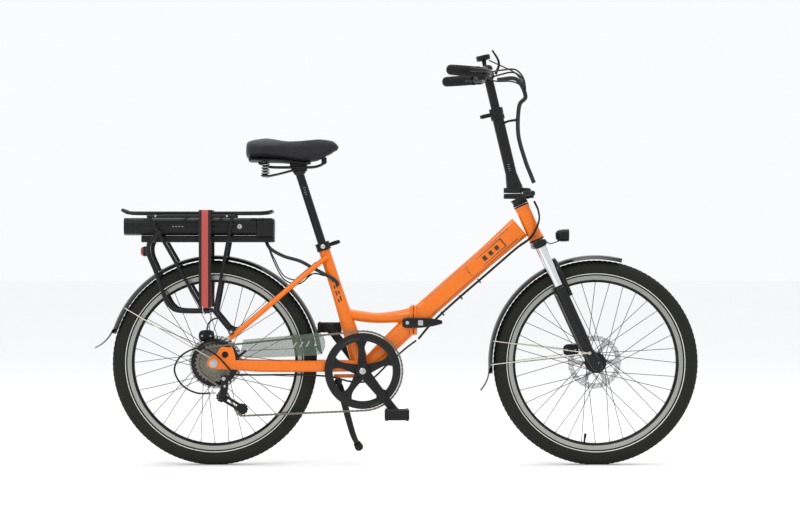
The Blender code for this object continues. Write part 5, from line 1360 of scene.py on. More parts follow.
@dataclass
class Cockpit:
    """The folding post, the swept bar, its grips and levers, the display and the bell."""

    bench: Bench
    collar: float = 256.0
    length: float = 359.0
    outer: float = 17.0
    inner: float = 13.5
    bar_radius: float = 11.0
    grip_radius: float = 16.0
    grip_length: float = 131.0

    @property
    def top(self) -> Array:
        """The middle of the bar's clamp."""
        return self.bench.stem(self.length)

    def beside(self, x: float, y: float, z: float = 0.0) -> Array:
        """A point from the clamp's middle, in millimetres."""
        return self.top + np.array([x, y, z]) * MM

    def along_grip(self, side: int, along: float, front: float = 0.0, rise: float = 0.0) -> Array:
        """A point beside a grip, from its inner end outwards, in millimetres."""
        way = unit(np.array([-0.089, 0.099, 0]))
        spot = np.array([-33.0, 187.0, 0]) + way * along + np.array([way[1], -way[0], 0]) * front + Z * rise
        return self.beside(spot[0], side * spot[1], spot[2])

    def build(self) -> None:
        """Make every piece above the folding joint."""
        self.post()
        self.bar()
        self.levers()
        self.console()

    def post(self) -> None:
        """Turn the outer post with its collar, over the folding joint's upper plate."""
        bench = self.bench
        up, ahead = bench.lean(bench.stem_lean)
        out, fold = unit(np.array([1.0, -1.0, 0])), unit(np.array([1.0, 1.0, 0]))
        barrel = [(13.9, 12), (24.6, 12), (24.8, 18), (21.5, 34), (18.6, 52), (17.0, 60), (17.0, 224), (20.4, 226),
                  (20.8, 228),
                  (20.8, 239), (20.0, 240), (20.0, 244), (20.8, 245), (20.8, 258), (20.2, 260), (13.9, 260)]
        outer = lathe(barrel, bench.stem(0), up, 72)
        slab = box(bench.steer(555) + Z * 8.8 * MM + out * 3 * MM, [25.8, 34.8, 7.5], 6, 1.2, Z, fold)
        pin = bench.steer(555) + np.array([34.0, -34.0, 0.0]) * MM
        knuckle = pole(pin - fold * 11.3 * MM, pin + fold * 11.3 * MM, 8.4, 0.8, 36)
        web = box(pin + Z * 8 * MM - out * 4 * MM, [11.2, 8, 6], 6, 0.8, Z, fold)
        dress("post_outer", [outer, slab, knuckle, web], SATIN_BLACK, "stem", ("stem_post_lower",), 30)
        latch = bench.steer(555) - out * 38.5 * MM + Z * 10 * MM
        lever("stem_latch", latch, Z, -out, fold, "stem_latch")
        pivot = bench.stem(self.collar - 13, -26.2)
        lever("post_clamp_lever", pivot, up, -Y, -ahead, "post_clamp_lever")
        marks = [film_on_tube(bench.stem(70 + 6 * k), up, ahead, -Y, 17.05, 17.05, -2.0, 2.0 + (k % 2),
                              1.2) for k in range(4)]
        dress("post_marks", marks, PALE_DECAL, "stem")

    def bar(self) -> None:
        """Bend the bar through its clamp and out to the swept grips, over the sliding inner post."""
        half = [self.beside(0, 80), self.beside(-8, 135), self.along_grip(1, 0)]
        other = [spot * [1, -1, 1] for spot in reversed(half)]
        line = curve(np.array(other + [self.top] + half), 12)
        line = np.vstack([self.along_grip(-1, self.grip_length - 5), line, self.along_grip(1, self.grip_length - 5)])
        tube_bar = tube(line, self.bar_radius, 30, 0.6)
        inner = tube(np.linspace(self.bench.stem(self.collar - 73), self.bench.stem(self.length - 3), 4), self.inner, 40)
        ring = [(11.2, 24), (17.2, 24), (18.5, 22.6), (18.5, 14.5), (16.6, 13.6), (16.6, -13.6), (18.5, -14.5),
                (18.5, -22.6),
                (17.2, -24), (11.2, -24)]
        clamp = lathe(ring, self.top, Y, 60)
        perches, bolts = [], []
        for side in (-1, 1):
            rows = [(-6, 16, 14.5), (4, 15, 13.5), (14, 11, 10.5), (20, 9.5, 8.5)]
            points = [self.along_grip(side, -22 + 0.1 * f, f) for f, _, _ in rows]
            perches.append(loft(stations(points, [(w, d) for _, w, d in rows], 3), 32, 6, Z, 1))
            bolts.append(bolt(self.along_grip(side, -22, 0, 14.6), Z, 3.2, 2.0))
        pod_low, pod_top = self.along_grip(-1, -20, -6, -23.6), self.along_grip(-1, -20, -6, -1)
        pod = pole(pod_low, pod_top, 13.8, 1.6, 40)
        dress("handlebar_tube", [tube_bar, inner, clamp, *perches, pod], SATIN_BLACK, "handlebar", ("handlebar",), 30)
        dress("handlebar_bolts", bolts, ZINC, "handlebar")
        self.grips()

    def grips(self) -> None:
        """Turn each grip with its ribs, r = R - 1.1 sin^8(pi s / 5.4 mm), and its collar and end plug."""
        for side, word in ((1, "left"), (-1, "right")):
            way = unit(np.array([-0.089, side * 0.099, 0]))
            s = np.linspace(3, self.grip_length - 6, 220)
            ribs = (s > 14) & (s < 112)
            r = self.grip_radius - 1.0 - 1.1 * np.abs(np.sin(math.pi * s / 5.4)) ** 8 * ribs + 0.9 * np.exp(-(((s - 8) / 4) ** 2))
            r = np.minimum(r + 0.6 * np.sin(math.pi * s / self.grip_length), self.grip_radius)
            outer = np.column_stack([r, s])
            profile = np.vstack([[(11.4, 1.2), (14.4, 1.2)], outer,
                                 [(14.0, self.grip_length - 2), (11.4, self.grip_length - 2)]])
            start = self.along_grip(side, 0)
            dress(f"grip_{word}_sleeve", lathe(profile, start, way, 64), GRIP_RUBBER, "handlebar", (f"grip_{word}",), 45)
            plug = [(0, 132), (8, 131.9), (12.4, 131), (13.6, 129.4), (13.8, 126.5), (0, 126.5)]
            dress(f"grip_{word}_plug", lathe(plug, start, way, 48, False), ANODISED, "handlebar")
            ring = [(11.4, 4), (15.4, 4), (16.2, 3), (16.2, 1.4), (15, 0.4), (11.4, 0.4)]
            dress(f"grip_{word}_collar", lathe(ring, start, way, 48), ANODISED, "handlebar")

    def levers(self) -> None:
        """Loft the brake levers, the shifter's paddle and the bent lever that closes the bar's clamp."""
        for side, word in ((1, "left"), (-1, "right")):
            rows = [(-15, 28, 7, 4.6), (-6, 34, 6, 4.6), (4, 41, 5.2, 4.4), (30, 48, 4.8, 4.6), (60, 49.6, 5.6, 4.6),
                    (88, 50, 6.2, 4.7), (98, 49.6, 5.2, 4.4)]
            points = [self.along_grip(side, a, f) for a, f, _, _ in rows]
            blade = loft(stations(points, [(w, d) for _, _, w, d in rows], 2.6), 28, 8, Z, 1.5)
            dress(f"brake_lever_{word}_blade", blade, ANODISED, f"brake_lever_{word}", (f"brake_lever_{word}",), 40)
        pivot, tip = self.along_grip(-1, -20, -6, -26.5), self.along_grip(-1, 22, -32, -26.5)
        middle = (pivot + tip) / 2
        paddle = loft(stations([pivot, middle, tip], [(10, 2), (7, 2), (6, 2)], 3), 30, 8,
                      unit(np.cross(tip - pivot, Z)), 0.8)
        dress("shifter_paddle", paddle, MOULDED, "shifter_lever", ("shifter_lever",), 40)
        start = self.beside(23.5, 16, 6)
        spots = [start, start + np.array([6, 0, 14]) * MM, start + np.array([10.4, 0, 28]) * MM,
                 start + np.array([8.4, 0, 40]) * MM, start + np.array([3, 0, 52]) * MM,
                 start + np.array([-10, 0, 71.5]) * MM]
        halves = [(4.6, 4.4), (4.6, 4.0), (4.4, 3.6), (4.8, 3.4), (5, 3.2), (3.8, 2.6)]
        line = np.array(spots)
        bent = loft(stations(list(line), halves, 3), 28, 8, Y, 1)
        dress("bar_clamp_blade", bent, SATIN_BLACK, "bar_clamp_lever", ("bar_clamp_lever",), 40)

    def console(self) -> None:
        """Loft the oval display on its arm, with a dark glass, a bezel and two buttons, and a domed bell."""
        up, ahead = self.bench.lean(self.bench.stem_lean)
        centre = self.beside(-12, 52, 58)
        rows = [(-9, 19, 16), (-7.4, 23, 20), (-3, 24, 21), (3, 24, 21), (6, 22.6, 19.6)]
        case = loft(stations([centre + up * h * MM for h, _, _ in rows], [(w, d) for _, w, d in rows], 2.6), 56, 8, Y,
                    0.6)
        arm_rows = [(self.beside(-3, 48, 11.6), (5, 8)), (self.beside(-7, 49.5, 30), (4, 6)),
                    (self.beside(-10, 51, 52), (4.4, 7))]
        arm = loft(stations([p for p, _ in arm_rows], [s for _, s in arm_rows], 4), 28, 8)
        dress("display_case", [case, arm], MOULDED, "handlebar", ("display",), 34)
        glass = loft(stations([centre + up * h * MM for h in (5.2, 6.6)], [(18.6, 15.6), (18.0, 15.0)], 2.8), 48, 4,
                     Y, 0.4)
        dress("display_glass", glass, BLACK_GLASS_AND_SLOT_SHADE, "handlebar")
        keys = [lathe([(0, 8.0), (2.6, 7.7), (3.2, 6.2), (3.2, 4), (0, 4)], centre + Y * k * 8 * MM - ahead * 17.2 * MM,
                      up, 24, False) for k in (-1, 1)]
        dress("display_keys", keys, PALE_DECAL, "handlebar")
        bell = self.beside(-2, -62, 11)
        dome = [(0, 18), (4, 17.8), (9, 16), (13, 12), (15, 6), (15.2, 4), (13.6, 4), (12, 8), (0, 9)]
        dress("bell_dome", lathe(dome, bell, Z, 48, False), ANODISED, "handlebar")
        dress("bell_clip", lathe([(11.1, 6), (13.4, 6), (13.4, -6), (11.1, -6)], self.beside(-1, -62), Y, 40),
              SHELL, "handlebar")


@dataclass
class Saddle:
    """The padded saddle on its shell and rails, over the seatpost."""

    bench: Bench
    voxel: float = 5.0
    cap: float = 6.0

    def build(self) -> None:
        """Make the cover, shell, rails and post."""
        self.cover()
        self.rails()
        self.post()

    def rows(self, shrink: float = 0.0) -> Array:
        """The saddle's sections from tail to nose: middle, half width and half depth."""
        table = [(94, 932, 66, 21), (97, 932, 78, 26), (103, 932.4, 88, 29), (116, 933, 97, 31), (136, 933.6, 102, 31),
                 (158, 933, 99, 30), (178, 931.4, 90, 29), (198, 929.2, 77, 28), (218, 927.4, 63, 28.4),
                 (240, 926.4, 51, 30.6),
                 (262, 926.2, 42, 33), (284, 928.8, 35, 33.4), (306, 932.6, 30.6, 32), (328, 938.6, 27.6, 28),
                 (346, 943.6, 24.6, 21.6),
                 (358, 942.6, 20, 14), (366, 939, 12, 7)]
        return self.bench.squared(2.5, *[(x, z, 0, w - shrink, d - shrink) for x, z, w, d in table])

    def cover(self) -> None:
        """Shape the pad, swell it as cloth over foam, and lay its seams: one round each side.

        The top dips along the middle by 5 exp(-(y/14)^2) mm, and its lower edge is cut flat under the shell.
        """
        skin = loft(self.rows(2.0), 96, 8, Y, 2)
        points = skin.points
        x = (points[:, 0] - self.bench.rear_axle[0]) / MM
        y, z = points[:, 1] / MM, points[:, 2] / MM
        line = np.interp(x, [94, 140, 218, 300, 364], [935, 937, 930, 935, 941])
        dip = 5.0 * np.exp(-((y / 13) ** 2)) * np.clip((x - 108) / 40, 0, 1) * np.clip((345 - x) / 60, 0, 1) * (z > line)
        points[:, 2] -= dip * MM
        floor = np.interp(x, [94, 150, 206, 262, 284, 306, 346, 367], [905, 904, 902, 893, 896, 901, 923, 936])
        points[:, 2] = np.maximum(points[:, 2], floor * MM)
        pad = dress("saddle_cover", skin, LEATHERCLOTH, "seatpost", ("saddle",), 60)
        self.swell(pad)
        self.seams(pad)

    def swell(self, pad: bpy.types.Object) -> None:
        """Inflate the pad as cloth, with no vertex going further than the cap, and keep the result."""
        remesh = pad.modifiers.new("skin", "REMESH")
        remesh.mode, remesh.voxel_size, remesh.use_smooth_shade = "VOXEL", self.voxel * MM, True
        self.bake(pad)
        before = self.coordinates(pad.data)
        cloth = pad.modifiers.new("cloth", "CLOTH")
        cloth.settings.use_pressure, cloth.settings.uniform_pressure_force = True, 4.0
        cloth.settings.effector_weights.gravity = 0.0
        cloth.settings.tension_stiffness = cloth.settings.compression_stiffness = 40.0
        cloth.settings.bending_stiffness = 8.0
        cloth.point_cache.frame_start, cloth.point_cache.frame_end = 1, 20
        for step in range(1, 21):
            bpy.context.scene.frame_set(step)
        self.bake(pad)
        bpy.context.scene.frame_set(1)
        move = self.coordinates(pad.data) - before
        length = np.linalg.norm(move, axis=1, keepdims=True)
        top = np.clip((before[:, 2:] - 0.912) / 0.020, 0.1, 1)
        move = move * np.minimum(1, self.cap * MM / np.maximum(length, 1e-9)) * top
        pad.data.vertices.foreach_set("co", (before + move).astype(np.float32).ravel())
        smooth = pad.modifiers.new("round", "SUBSURF")
        smooth.levels = smooth.render_levels = 1
        self.bake(pad)
        pad.data.shade_smooth()
        pad.data.materials.clear()
        pad.data.materials.append(LEATHERCLOTH.build())

    @staticmethod
    def bake(piece: bpy.types.Object) -> None:
        """Apply every modifier by taking the evaluated mesh."""
        graph = bpy.context.evaluated_depsgraph_get()
        mesh = bpy.data.meshes.new_from_object(piece.evaluated_get(graph))
        piece.modifiers.clear()
        piece.data = mesh

    @staticmethod
    def coordinates(mesh: bpy.types.Mesh) -> Array:
        """The mesh's vertices as an (n, 3) array."""
        flat = np.empty(len(mesh.vertices) * 3)
        mesh.vertices.foreach_get("co", flat)
        return flat.reshape(-1, 3)

    def seams(self, pad: bpy.types.Object) -> None:
        """Lay piping along both upper edges, on the surface where rays from the pad's heart leave it."""
        graph = bpy.context.evaluated_depsgraph_get()
        graph.update()
        solid = pad.evaluated_get(graph)
        cords = []
        for side in (-1, 1):
            spots = []
            for row in curve(self.rows(), 4)[10:-8]:
                hit, spot, normal, _ = solid.ray_cast(row[:3].tolist(), (0, side * 0.86, -0.5))
                if hit:
                    spots.append(np.array(spot) + np.array(normal) * 0.35 * MM)
            if len(spots) > 4:
                cords.append(tube(curve(np.array(spots)[::2], 6), 1.25, 10, 1.0))
        if cords:
            dress("saddle_piping", cords, SHELL, "seatpost")
        lower = self.rows(0)[2:12].copy()
        lower[:, 2] = np.interp((lower[:, 0] - self.bench.rear_axle[0]) / MM, [100, 206, 262, 300],
                                [903, 900, 893, 900]) * MM
        lower[:, 3] = np.maximum(lower[:, 3] - 8 * MM, 8 * MM)
        lower[:, 4] = 6.0 * MM
        dress("saddle_shell", loft(lower, 48, 6, Y, 2), SHELL, "seatpost", (), 40)

    def rails(self) -> None:
        """Bend the two steel rails and seat their ends in the shell."""
        skins = []
        for side in (-1, 1):
            path = self.bench.run((138, 898, side * 36), (150, 887, side * 30), (172, 882, side * 22.5),
                                  (235, 881.6, side * 22.5),
                                  (285, 882, side * 22.5), (308, 886, side * 17), (328, 896, side * 11))
            skins.append(tube(curve(path, 10), 3.5, 20, 1))
        dress("saddle_rail_pair", skins, SATIN_BLACK, "seatpost", ("saddle_rails",), 40)
        sockets = [box(self.bench.at(140, 898, s * 35), [8, 10, 8], 4, 1.5) for s in (-1, 1)]
        sockets.append(box(self.bench.at(324, 902, 0), [12, 8, 9], 4, 1.5))
        dress("saddle_rail_sockets", sockets, SHELL, "seatpost", (), 40)
        self.springs()

    def springs(self) -> None:
        """Stand two short coil springs under the saddle's tail, x = r cos 2 pi n t, y = r sin 2 pi n t, z = h t."""
        coils, ends = [], []
        for side in (-1, 1):
            t = np.linspace(0, 1, 170)[:, None]
            foot = self.bench.at(150, 858, side * 33)
            coils.append(tube(foot + (X * np.cos(32 * t) + Y * np.sin(32 * t)) * 10 * MM + Z * 42 * t * MM, 2.0, 8))
            ends.append(lathe([(0, -5), (8, -5), (13, -3), (13, 0), (6, 1), (6, 40), (13, 41), (13, 44), (0, 44)],
                              foot, Z, 36, False))
            arm = self.bench.run((152, 854, side * 33), (190, 862, side * 28), (236, 874, side * 22))
            ends.append(loft(stations(list(arm), [(5, 2.4), (4.4, 2.4), (4.4, 3)], 3), 24, 8, Y, 0.8))
        dress("saddle_springs", coils, ZINC, "seatpost", (), 50)
        dress("saddle_spring_cups", ends, SATIN_BLACK, "seatpost", (), 34)

    def post(self) -> None:
        """Turn the seatpost with its grooves, and build the rail clamp with its bolt."""
        up, ahead = self.bench.lean(self.bench.seat_lean)
        start, end = 274.5, 617.0
        profile = [(0, start), (12.6, start), (12.6, 590), (12.1, 590.6), (12.1, 593), (12.6, 593.6), (12.6, end),
                   (0, end)]
        post = lathe(profile, self.bench.seat(0), up, 56, False)
        head = self.bench.seat(617) + Z * 6 * MM
        lower = loft(stations([head - Z * 14 * MM, head - Z * 7 * MM, head - Z * 2 * MM],
                              [(15, 13), (18, 18), (20, 20.5)], 4), 40, 8,
                     Y, 1)
        wings = [box(head + Z * 7 * MM, [17, 24, 8.4], 5, 1.6),
                 box(head + Z * 15 * MM - X * 2 * MM, [21, 26, 4.4], 5, 1.2)]
        dress("seatpost_tube", [post, lower, *wings], SATIN_BLACK, "seatpost", ("seatpost",), 30)
        cross = pole(head + Z * 2 * MM - Y * 16 * MM, head + Z * 2 * MM + Y * 16 * MM, 4.6, 0.8)
        dress("seatpost_bolt", cross, ZINC, "seatpost")
        rings = [film_on_tube(self.bench.seat(548 + 7 * k), up, ahead, -Y, 12.65, 12.65, 0, 2.6 + 1.5 * (k % 2), 1.1)
                 for k in range(4)]
        dress("seatpost_scale", rings, PALE_DECAL, "seatpost")


# ---- Rack, battery, strap and lamp ----------------------------------------------------------


@dataclass
class Rack:
    """The tubular rack with the battery in its dock, the strap and the tail lamp."""

    bench: Bench
    side_y: float = 80.0
    deck_z: float = 745.0
    battery_half: float = 58.0
    battery_low: float = 679.7
    battery_high: float = 731.5

    def build(self) -> None:
        """Make every piece of the rack."""
        self.deck()
        self.sides()
        self.dock()
        self.battery()
        self.strap()
        self.lamp()

    def deck(self) -> None:
        """Carry the deck's loop of tube round on one smooth path, with four cross bars."""
        half = [(-272, 754.5, 40), (-255, 746, 60), (-225, 745, 68), (130, 745, 68), (158, 747, 60), (170, 750.5, 40)]
        spots = half + [(x, z, -y) for x, z, y in reversed(half)]
        corners = self.bench.run(*spots)
        share = np.array([0.15, 0.5, 0.85])[:, None]
        ahead = np.roll(corners, -1, 0)
        line = (corners[:, None] * (1 - share) + ahead[:, None] * share).reshape(-1, 3)
        loop = curve(np.vstack([line[-2:], line, line[:3]]), 4)[8:-8]
        rail = tube(loop[:-1], 5.0, 20, loop=True)
        bars = [pole(self.bench.at(x, self.deck_z, -66), self.bench.at(x, self.deck_z, 66), 3.9, 0.5, 20)
                for x in (-200, -85, 20, 115)]
        dress("rack_deck_tube", [rail, *bars], SATIN_BLACK, "rear_frame", ("rack_deck",), 34)

    def sides(self) -> None:
        """Bend each side's hoop, and weld its struts, rail and dropout leg to it."""
        for side, word in ((1, "left"), (-1, "right")):
            y = side * self.side_y
            run = self.bench.run
            hoop = run((-155, 690, y), (-186.5, 660, y), (-190.5, 625, y), (-171, 576, y), (-144.6, 502, y),
                       (-126, 470, y),
                       (-97, 457, y), (-10, 456, y))
            skins = [tube(curve(hoop, 10), 6.5, 24, 1)]
            for a, b, r in (((-189, 735), (-30, 458), 5.0), ((56, 735), (4, 456), 5.0), ((0, 458), (53, 394), 5.5),
                            ((-196, 736), (64, 736), 5.0)):
                skins.append(pole(self.bench.at(*a, y), self.bench.at(*b, y), r, 0.8, 22))
            eye = self.bench.at(52, 395, y)
            skins.append(lathe([(0, 4.6), (7.6, 4.6), (8.4, 3.8), (8.4, -3.8), (7.6, -4.6), (0, -4.6)], eye, Y, 36,
                               False))
            dress(f"rack_side_{word}_tube", skins, SATIN_BLACK, "rear_frame", (f"rack_side_{word}",), 34)
            heads = [bolt(eye + Y * side * 4.6 * MM, Y * side, 4.4, 3.4)]
            heads += [bolt(self.bench.at(x, 736, y + side * 5), Y * side, 3.0, 2.0) for x in (-170, 40)]
            dress(f"rack_bolts_{word}", heads, ZINC, "rear_frame")

    def dock(self) -> None:
        """Shape the dock's rail and the controller's box, with its lid seam and plugs."""
        rail = box(self.bench.at(-19.5, 669, 0), [42, 10, 196.3], 8, 1.2, X)
        grooves = [box(self.bench.at(-19.5, z, s * 42.3), [0.8, 1.4, 188], 4, 0.6, X)
                   for z in (665, 673) for s in (-1, 1)]
        rows = [(124.5, 54, 28), (127, 56.4, 29.8), (133, 57, 30.5), (150, 57, 30.5), (168, 56.6, 30), (174, 54, 28),
                (177, 49, 25)]
        case = loft(self.bench.squared(5, *[(x, 701, 0, w, d) for x, w, d in rows]), 60, 8, Y, 0.8)
        seam = loft(self.bench.squared(5, (140, 701, 0, 57.8, 31.2), (142.4, 701, 0, 57.8, 31.2)), 60, 2, Y, 0.5)
        dress("battery_dock_rail", [rail, *grooves], MOULDED, "rear_frame", ("battery_dock",), 34)
        dress("controller_case", [case, seam], MOULDED, "rear_frame", (), 34)
        glands = [lathe([(0, 12), (4.6, 12), (5.4, 9), (7.4, 9), (7.8, 7), (7.8, 0), (0, 0)],
                        self.bench.at(152, 672.4, y), -Z, 30, False) for y in (-24, -4, 16)]
        dress("controller_glands", glands, HOUSING, "rear_frame", (), 30)

    def battery(self) -> None:
        """Loft the battery's case, with its end caps, side grooves, lock and gauge lights."""
        middle, half = (self.battery_low + self.battery_high) / 2, (self.battery_high - self.battery_low) / 2
        wide = self.battery_half
        rows = [(-265.3, wide - 12, half - 12), (-262.5, wide - 5, half - 5), (-257, wide - 1.5, half - 1.6),
                (-250, wide, half),
                (-60, wide, half), (110, wide, half), (118, wide - 0.8, half - 0.8), (122, wide - 3, half - 3),
                (123.4, wide - 6, half - 6)]
        case = loft(self.bench.squared(4.2, *[(x, middle, 0, w, d) for x, w, d in rows]), 72, 8, Y)
        dress("battery_case", case, MOULDED, "battery", ("battery",), 34)
        caps = [loft(self.bench.squared(4.2, (x, middle, 0, wide + 0.35, half + 0.35), (x + 1.8, middle, 0, wide + 0.35,
                     half + 0.35)), 72, 2, Y, 0.4) for x in (-232, 96)]
        dress("battery_bands", caps, GUARD_SHEET, "battery", (), 34)
        flutes = [box(self.bench.at(-68, middle + z, s * (wide + 0.1)), [0.8, 1.8, 148], 5, 0.8, X)
                  for z in (-7, 7) for s in (-1, 1)]
        dress("battery_flutes", flutes, GUARD_SHEET, "battery", (), 34)
        lock = lathe([(0, 1.4), (6.4, 1.4), (7.2, 0.6), (7.2, -2), (0, -2)], self.bench.at(76, middle, -wide - 0.2),
                     -Y, 36, False)
        # Painted shade: the key slot is a thin black glossy block on the lock's face, standing for the dark hollow of
        # the keyway.
        slot = box(self.bench.at(76, middle, -wide - 1.5), [0.9, 3.6, 0.5], 5, 0.2, Y, X)
        dress("battery_lock", lock, ZINC, "battery")
        dress("battery_lock_slot_painted_shade", slot, BLACK_GLASS_AND_SLOT_SHADE, "battery")
        lights = [box(self.bench.at(-120 + 9 * k, middle, -wide - 0.3), [2.6, 1.3, 0.7], 4, 0.2, Y, X)
                  for k in range(4)]
        dress("battery_gauge", lights, PALE_DECAL, "battery")

    def strap(self) -> None:
        """Lay the flat elastic strap over the rack in three colours side by side, with an end hook on each side.

        The strap's line is a smooth curve through its corners, pressed flat over the deck.
        """
        x = -24.7
        half = [(466, 88.4), (540, 88.4), (640, 88.4), (715, 88.4), (741, 88.0), (750.2, 84.0), (753.2, 76.0),
                (753.6, 60.0)]
        line = [self.bench.at(x, z, -y) for z, y in half] + [self.bench.at(x, z, y) for z, y in reversed(half)]
        path = curve(np.array(line), 10)
        way = unit(np.gradient(path, axis=0))
        normal = unit(np.cross(way, X))
        parts = {"strap_edges": (WEBBING_BLACK, ((-18, -9.5), (9.5, 18))), "strap_centre": (WEBBING_RED, ((-9.5, 9.5),))}
        for name, (finish, spans) in parts.items():
            skins = []
            for start, end in spans:
                across = np.linspace(start, end, 9)[None, :, None] * MM * X
                face = path[:, None] + across
                top, low = face + normal[:, None] * 1.0 * MM, face - normal[:, None] * 0.9 * MM
                skins.append(grid(np.concatenate([top, low[:, ::-1]], axis=1)))
            node = ("luggage_strap",) if name == "strap_centre" else ()
            dress(name, skins, finish, "rear_frame", node, 40)
        hooks = [tube(curve(self.bench.run((x - 6, 470, s * 88), (x - 6, 458, s * 89), (x, 448.5, s * 84),
                                           (x, 450, s * 77),
                                           (x, 456, s * 72.6)), 8), 1.8, 12, 0.6) for s in (-1, 1)]
        dress("strap_hooks", hooks, ZINC, "rear_frame")

    def lamp(self) -> None:
        """Loft the tail lamp: a black back shell and a red lens, on a folded bracket."""
        back = box(self.bench.at(-204, 632, 0), [27.8, 14.8, 7.5], 4, 1.4, X)
        lens = loft(np.array([np.r_[self.bench.at(x, 632), w * MM, d * MM, 3.4] for x, w, d in
                              ((-208, 27, 14), (-213, 27, 14), (-217.5, 24, 11.8), (-219.6, 18, 7.5))]), 56, 8, Y)
        arm = box(self.bench.at(-200, 652, 0), [15, 1.8, 8], 5, 0.5)
        dress("tail_lamp_back", [back, arm], MOULDED, "rear_frame", ("rear_light",), 34)
        dress("tail_lamp_lens", lens, RED_LENS, "rear_frame", (), 50)


# ---- Drive train ----------------------------------------------------------------------------


@dataclass
class DriveTrain:
    """Chain, sprockets, derailleur, chainring, guards, cranks and pedals."""

    bench: Bench
    pitch: float = 12.7
    plane: float = -44.0
    ring_teeth: int = 58
    sprocket_teeth: int = 24
    crank_length: float = 160.0
    crank_angle: float = math.radians(-51)
    guide: tuple[float, float] = (22.8, 202.6)
    tension: tuple[float, float] = (83.5, 166.3)

    @property
    def axle_height(self) -> float:
        """The rear axle's height in millimetres."""
        return float(self.bench.rear_axle[2]) / MM

    def reach(self, teeth: int) -> float:
        """A sprocket's radius at the chain's pins."""
        return self.pitch / (2 * math.sin(math.pi / teeth))

    def build(self) -> None:
        """Make every piece of the drive."""
        self.chain()
        self.sprockets()
        self.derailleur()
        self.ring()
        for side in (-1, 1):
            self.crank(side)
            self.pedal(side)
        self.cover()

    def run(self) -> Array:
        """The chain's closed line round its four wheels, 2 mm apart, in millimetres from the ground.

        A straight run lies on the common tangent of two wheels; a wheel that the chain passes on its
        outside has a negative radius.
        """
        wheels = [(0.0, self.axle_height, self.reach(self.sprocket_teeth)), (*self.guide, -20.0), (*self.tension, 20.0),
                  (439.0, 279.0, self.reach(self.ring_teeth))]
        ways = []
        for first, second in zip(wheels, wheels[1:] + wheels[:1]):
            line = np.array(second[:2]) - first[:2]
            change = second[2] - first[2]
            along = math.sqrt(line @ line - change * change)
            ways.append((along * line - change * np.array([-line[1], line[0]])) / (line @ line))
        spots = []
        for index, (x, z, radius) in enumerate(wheels):
            arrive, leave = (math.atan2(way[1], way[0]) for way in (ways[index - 1], ways[index]))
            turn = (leave - arrive) % (2 * math.pi) if radius > 0 else -((arrive - leave) % (2 * math.pi))
            heading = arrive + turn * np.linspace(0, 1, max(6, int(abs(turn * radius) / 2)))
            spots.append(np.column_stack([x + radius * np.sin(heading), z - radius * np.cos(heading)]))
        return np.vstack(spots)

    def chain(self) -> None:
        """Set links along the run: a waisted plate pair and a roller for each pitch, inner and outer in turn."""
        line = self.run()
        line = np.vstack([line, line[:1]])
        length = np.concatenate([[0], np.linalg.norm(np.diff(line, axis=0), axis=1).cumsum()])
        count = int(round(length[-1] / self.pitch / 2)) * 2
        at = np.linspace(0, length[-1], count + 1)
        pins = np.column_stack([np.interp(at, length, line[:, k]) for k in (0, 1)])
        plates, rollers = [], []
        angle = np.linspace(0, 2 * math.pi, 20, endpoint=False)
        long, wide = self.pitch / 2 + 3.6 * np.abs(np.cos(angle)) ** 0.6, 3.7 - 1.1 * np.abs(np.sin(angle)) ** 4
        outline = np.column_stack([np.sign(np.cos(angle)) * long * np.abs(np.cos(angle)) ** 0.35, np.sin(angle) * wide])
        for k in range(count):
            middle, way = (pins[k] + pins[k + 1]) / 2, unit(pins[k + 1] - pins[k])
            flat = outline[:, :1] * way + outline[:, 1:] * np.array([-way[1], way[0]]) + middle
            out = 3.0 if k % 2 else 2.1
            face = np.column_stack([flat[:, 0] * MM + self.bench.rear_axle[0], np.zeros(20), flat[:, 1] * MM])
            for side in (-1, 1):
                inner = (self.plane + side * out) * MM
                plates.append(grid(np.stack([face + Y * (inner + side * h * MM) for h in (-0.42, 0.42)])))
            spot = self.bench.at(pins[k][0], pins[k][1], self.plane)
            rollers.append(tube(np.array([spot - Y * 3.7 * MM, spot + Y * 3.7 * MM]), 1.9, 10))
            rollers.append(tube(np.array([spot - Y * 1.5 * MM, spot + Y * 1.5 * MM]), 3.6, 12))
        dress("chain_plates", plates, CHAIN_STEEL, "rear_frame", ("chain",), 30)
        dress("chain_rollers", rollers, CHAIN_STEEL, "rear_frame", (), 30)

    def teeth(self, count: int, depth: float = 3.6) -> Array:
        """A sprocket's outline in metres: r = R - 1.2 + depth times a clipped cosine."""
        angle = np.linspace(0, 2 * math.pi, count * 8, endpoint=False)
        edge = self.reach(count) - 1.4 + depth * np.clip(np.cos(count * angle), -0.72, 0.62)
        return np.column_stack([np.cos(angle), np.sin(angle)]) * edge[:, None] * MM

    def sprockets(self) -> None:
        """Stack the freewheel's toothed sprockets on their body, the chain on the largest but one."""
        axle, body = self.bench.rear_axle, "freewheel"
        rows = [(28, -38.8), (24, -44.0), (21, -49.4), (18, -54.2), (15, -58.6), (13, -62.6)]
        skins = []
        for count, y in rows:
            outline = self.teeth(count, 1.6 if count == 24 else 3.2)
            if count == 24:
                outline = outline * (self.reach(24) - 5.2) / self.reach(24)
            hole = [circle(14, steps=30)]
            skins.append(plate(outline, hole, 1.8, axle + Y * y * MM, 0.3))
        core = lathe([(7.2, -39), (26, -39), (26, -64), (20, -66), (7.2, -66.4)], axle, Y, 60)
        dress("freewheel_sprockets", [*skins, core], CHAIN_STEEL, body, ("freewheel",), 30)

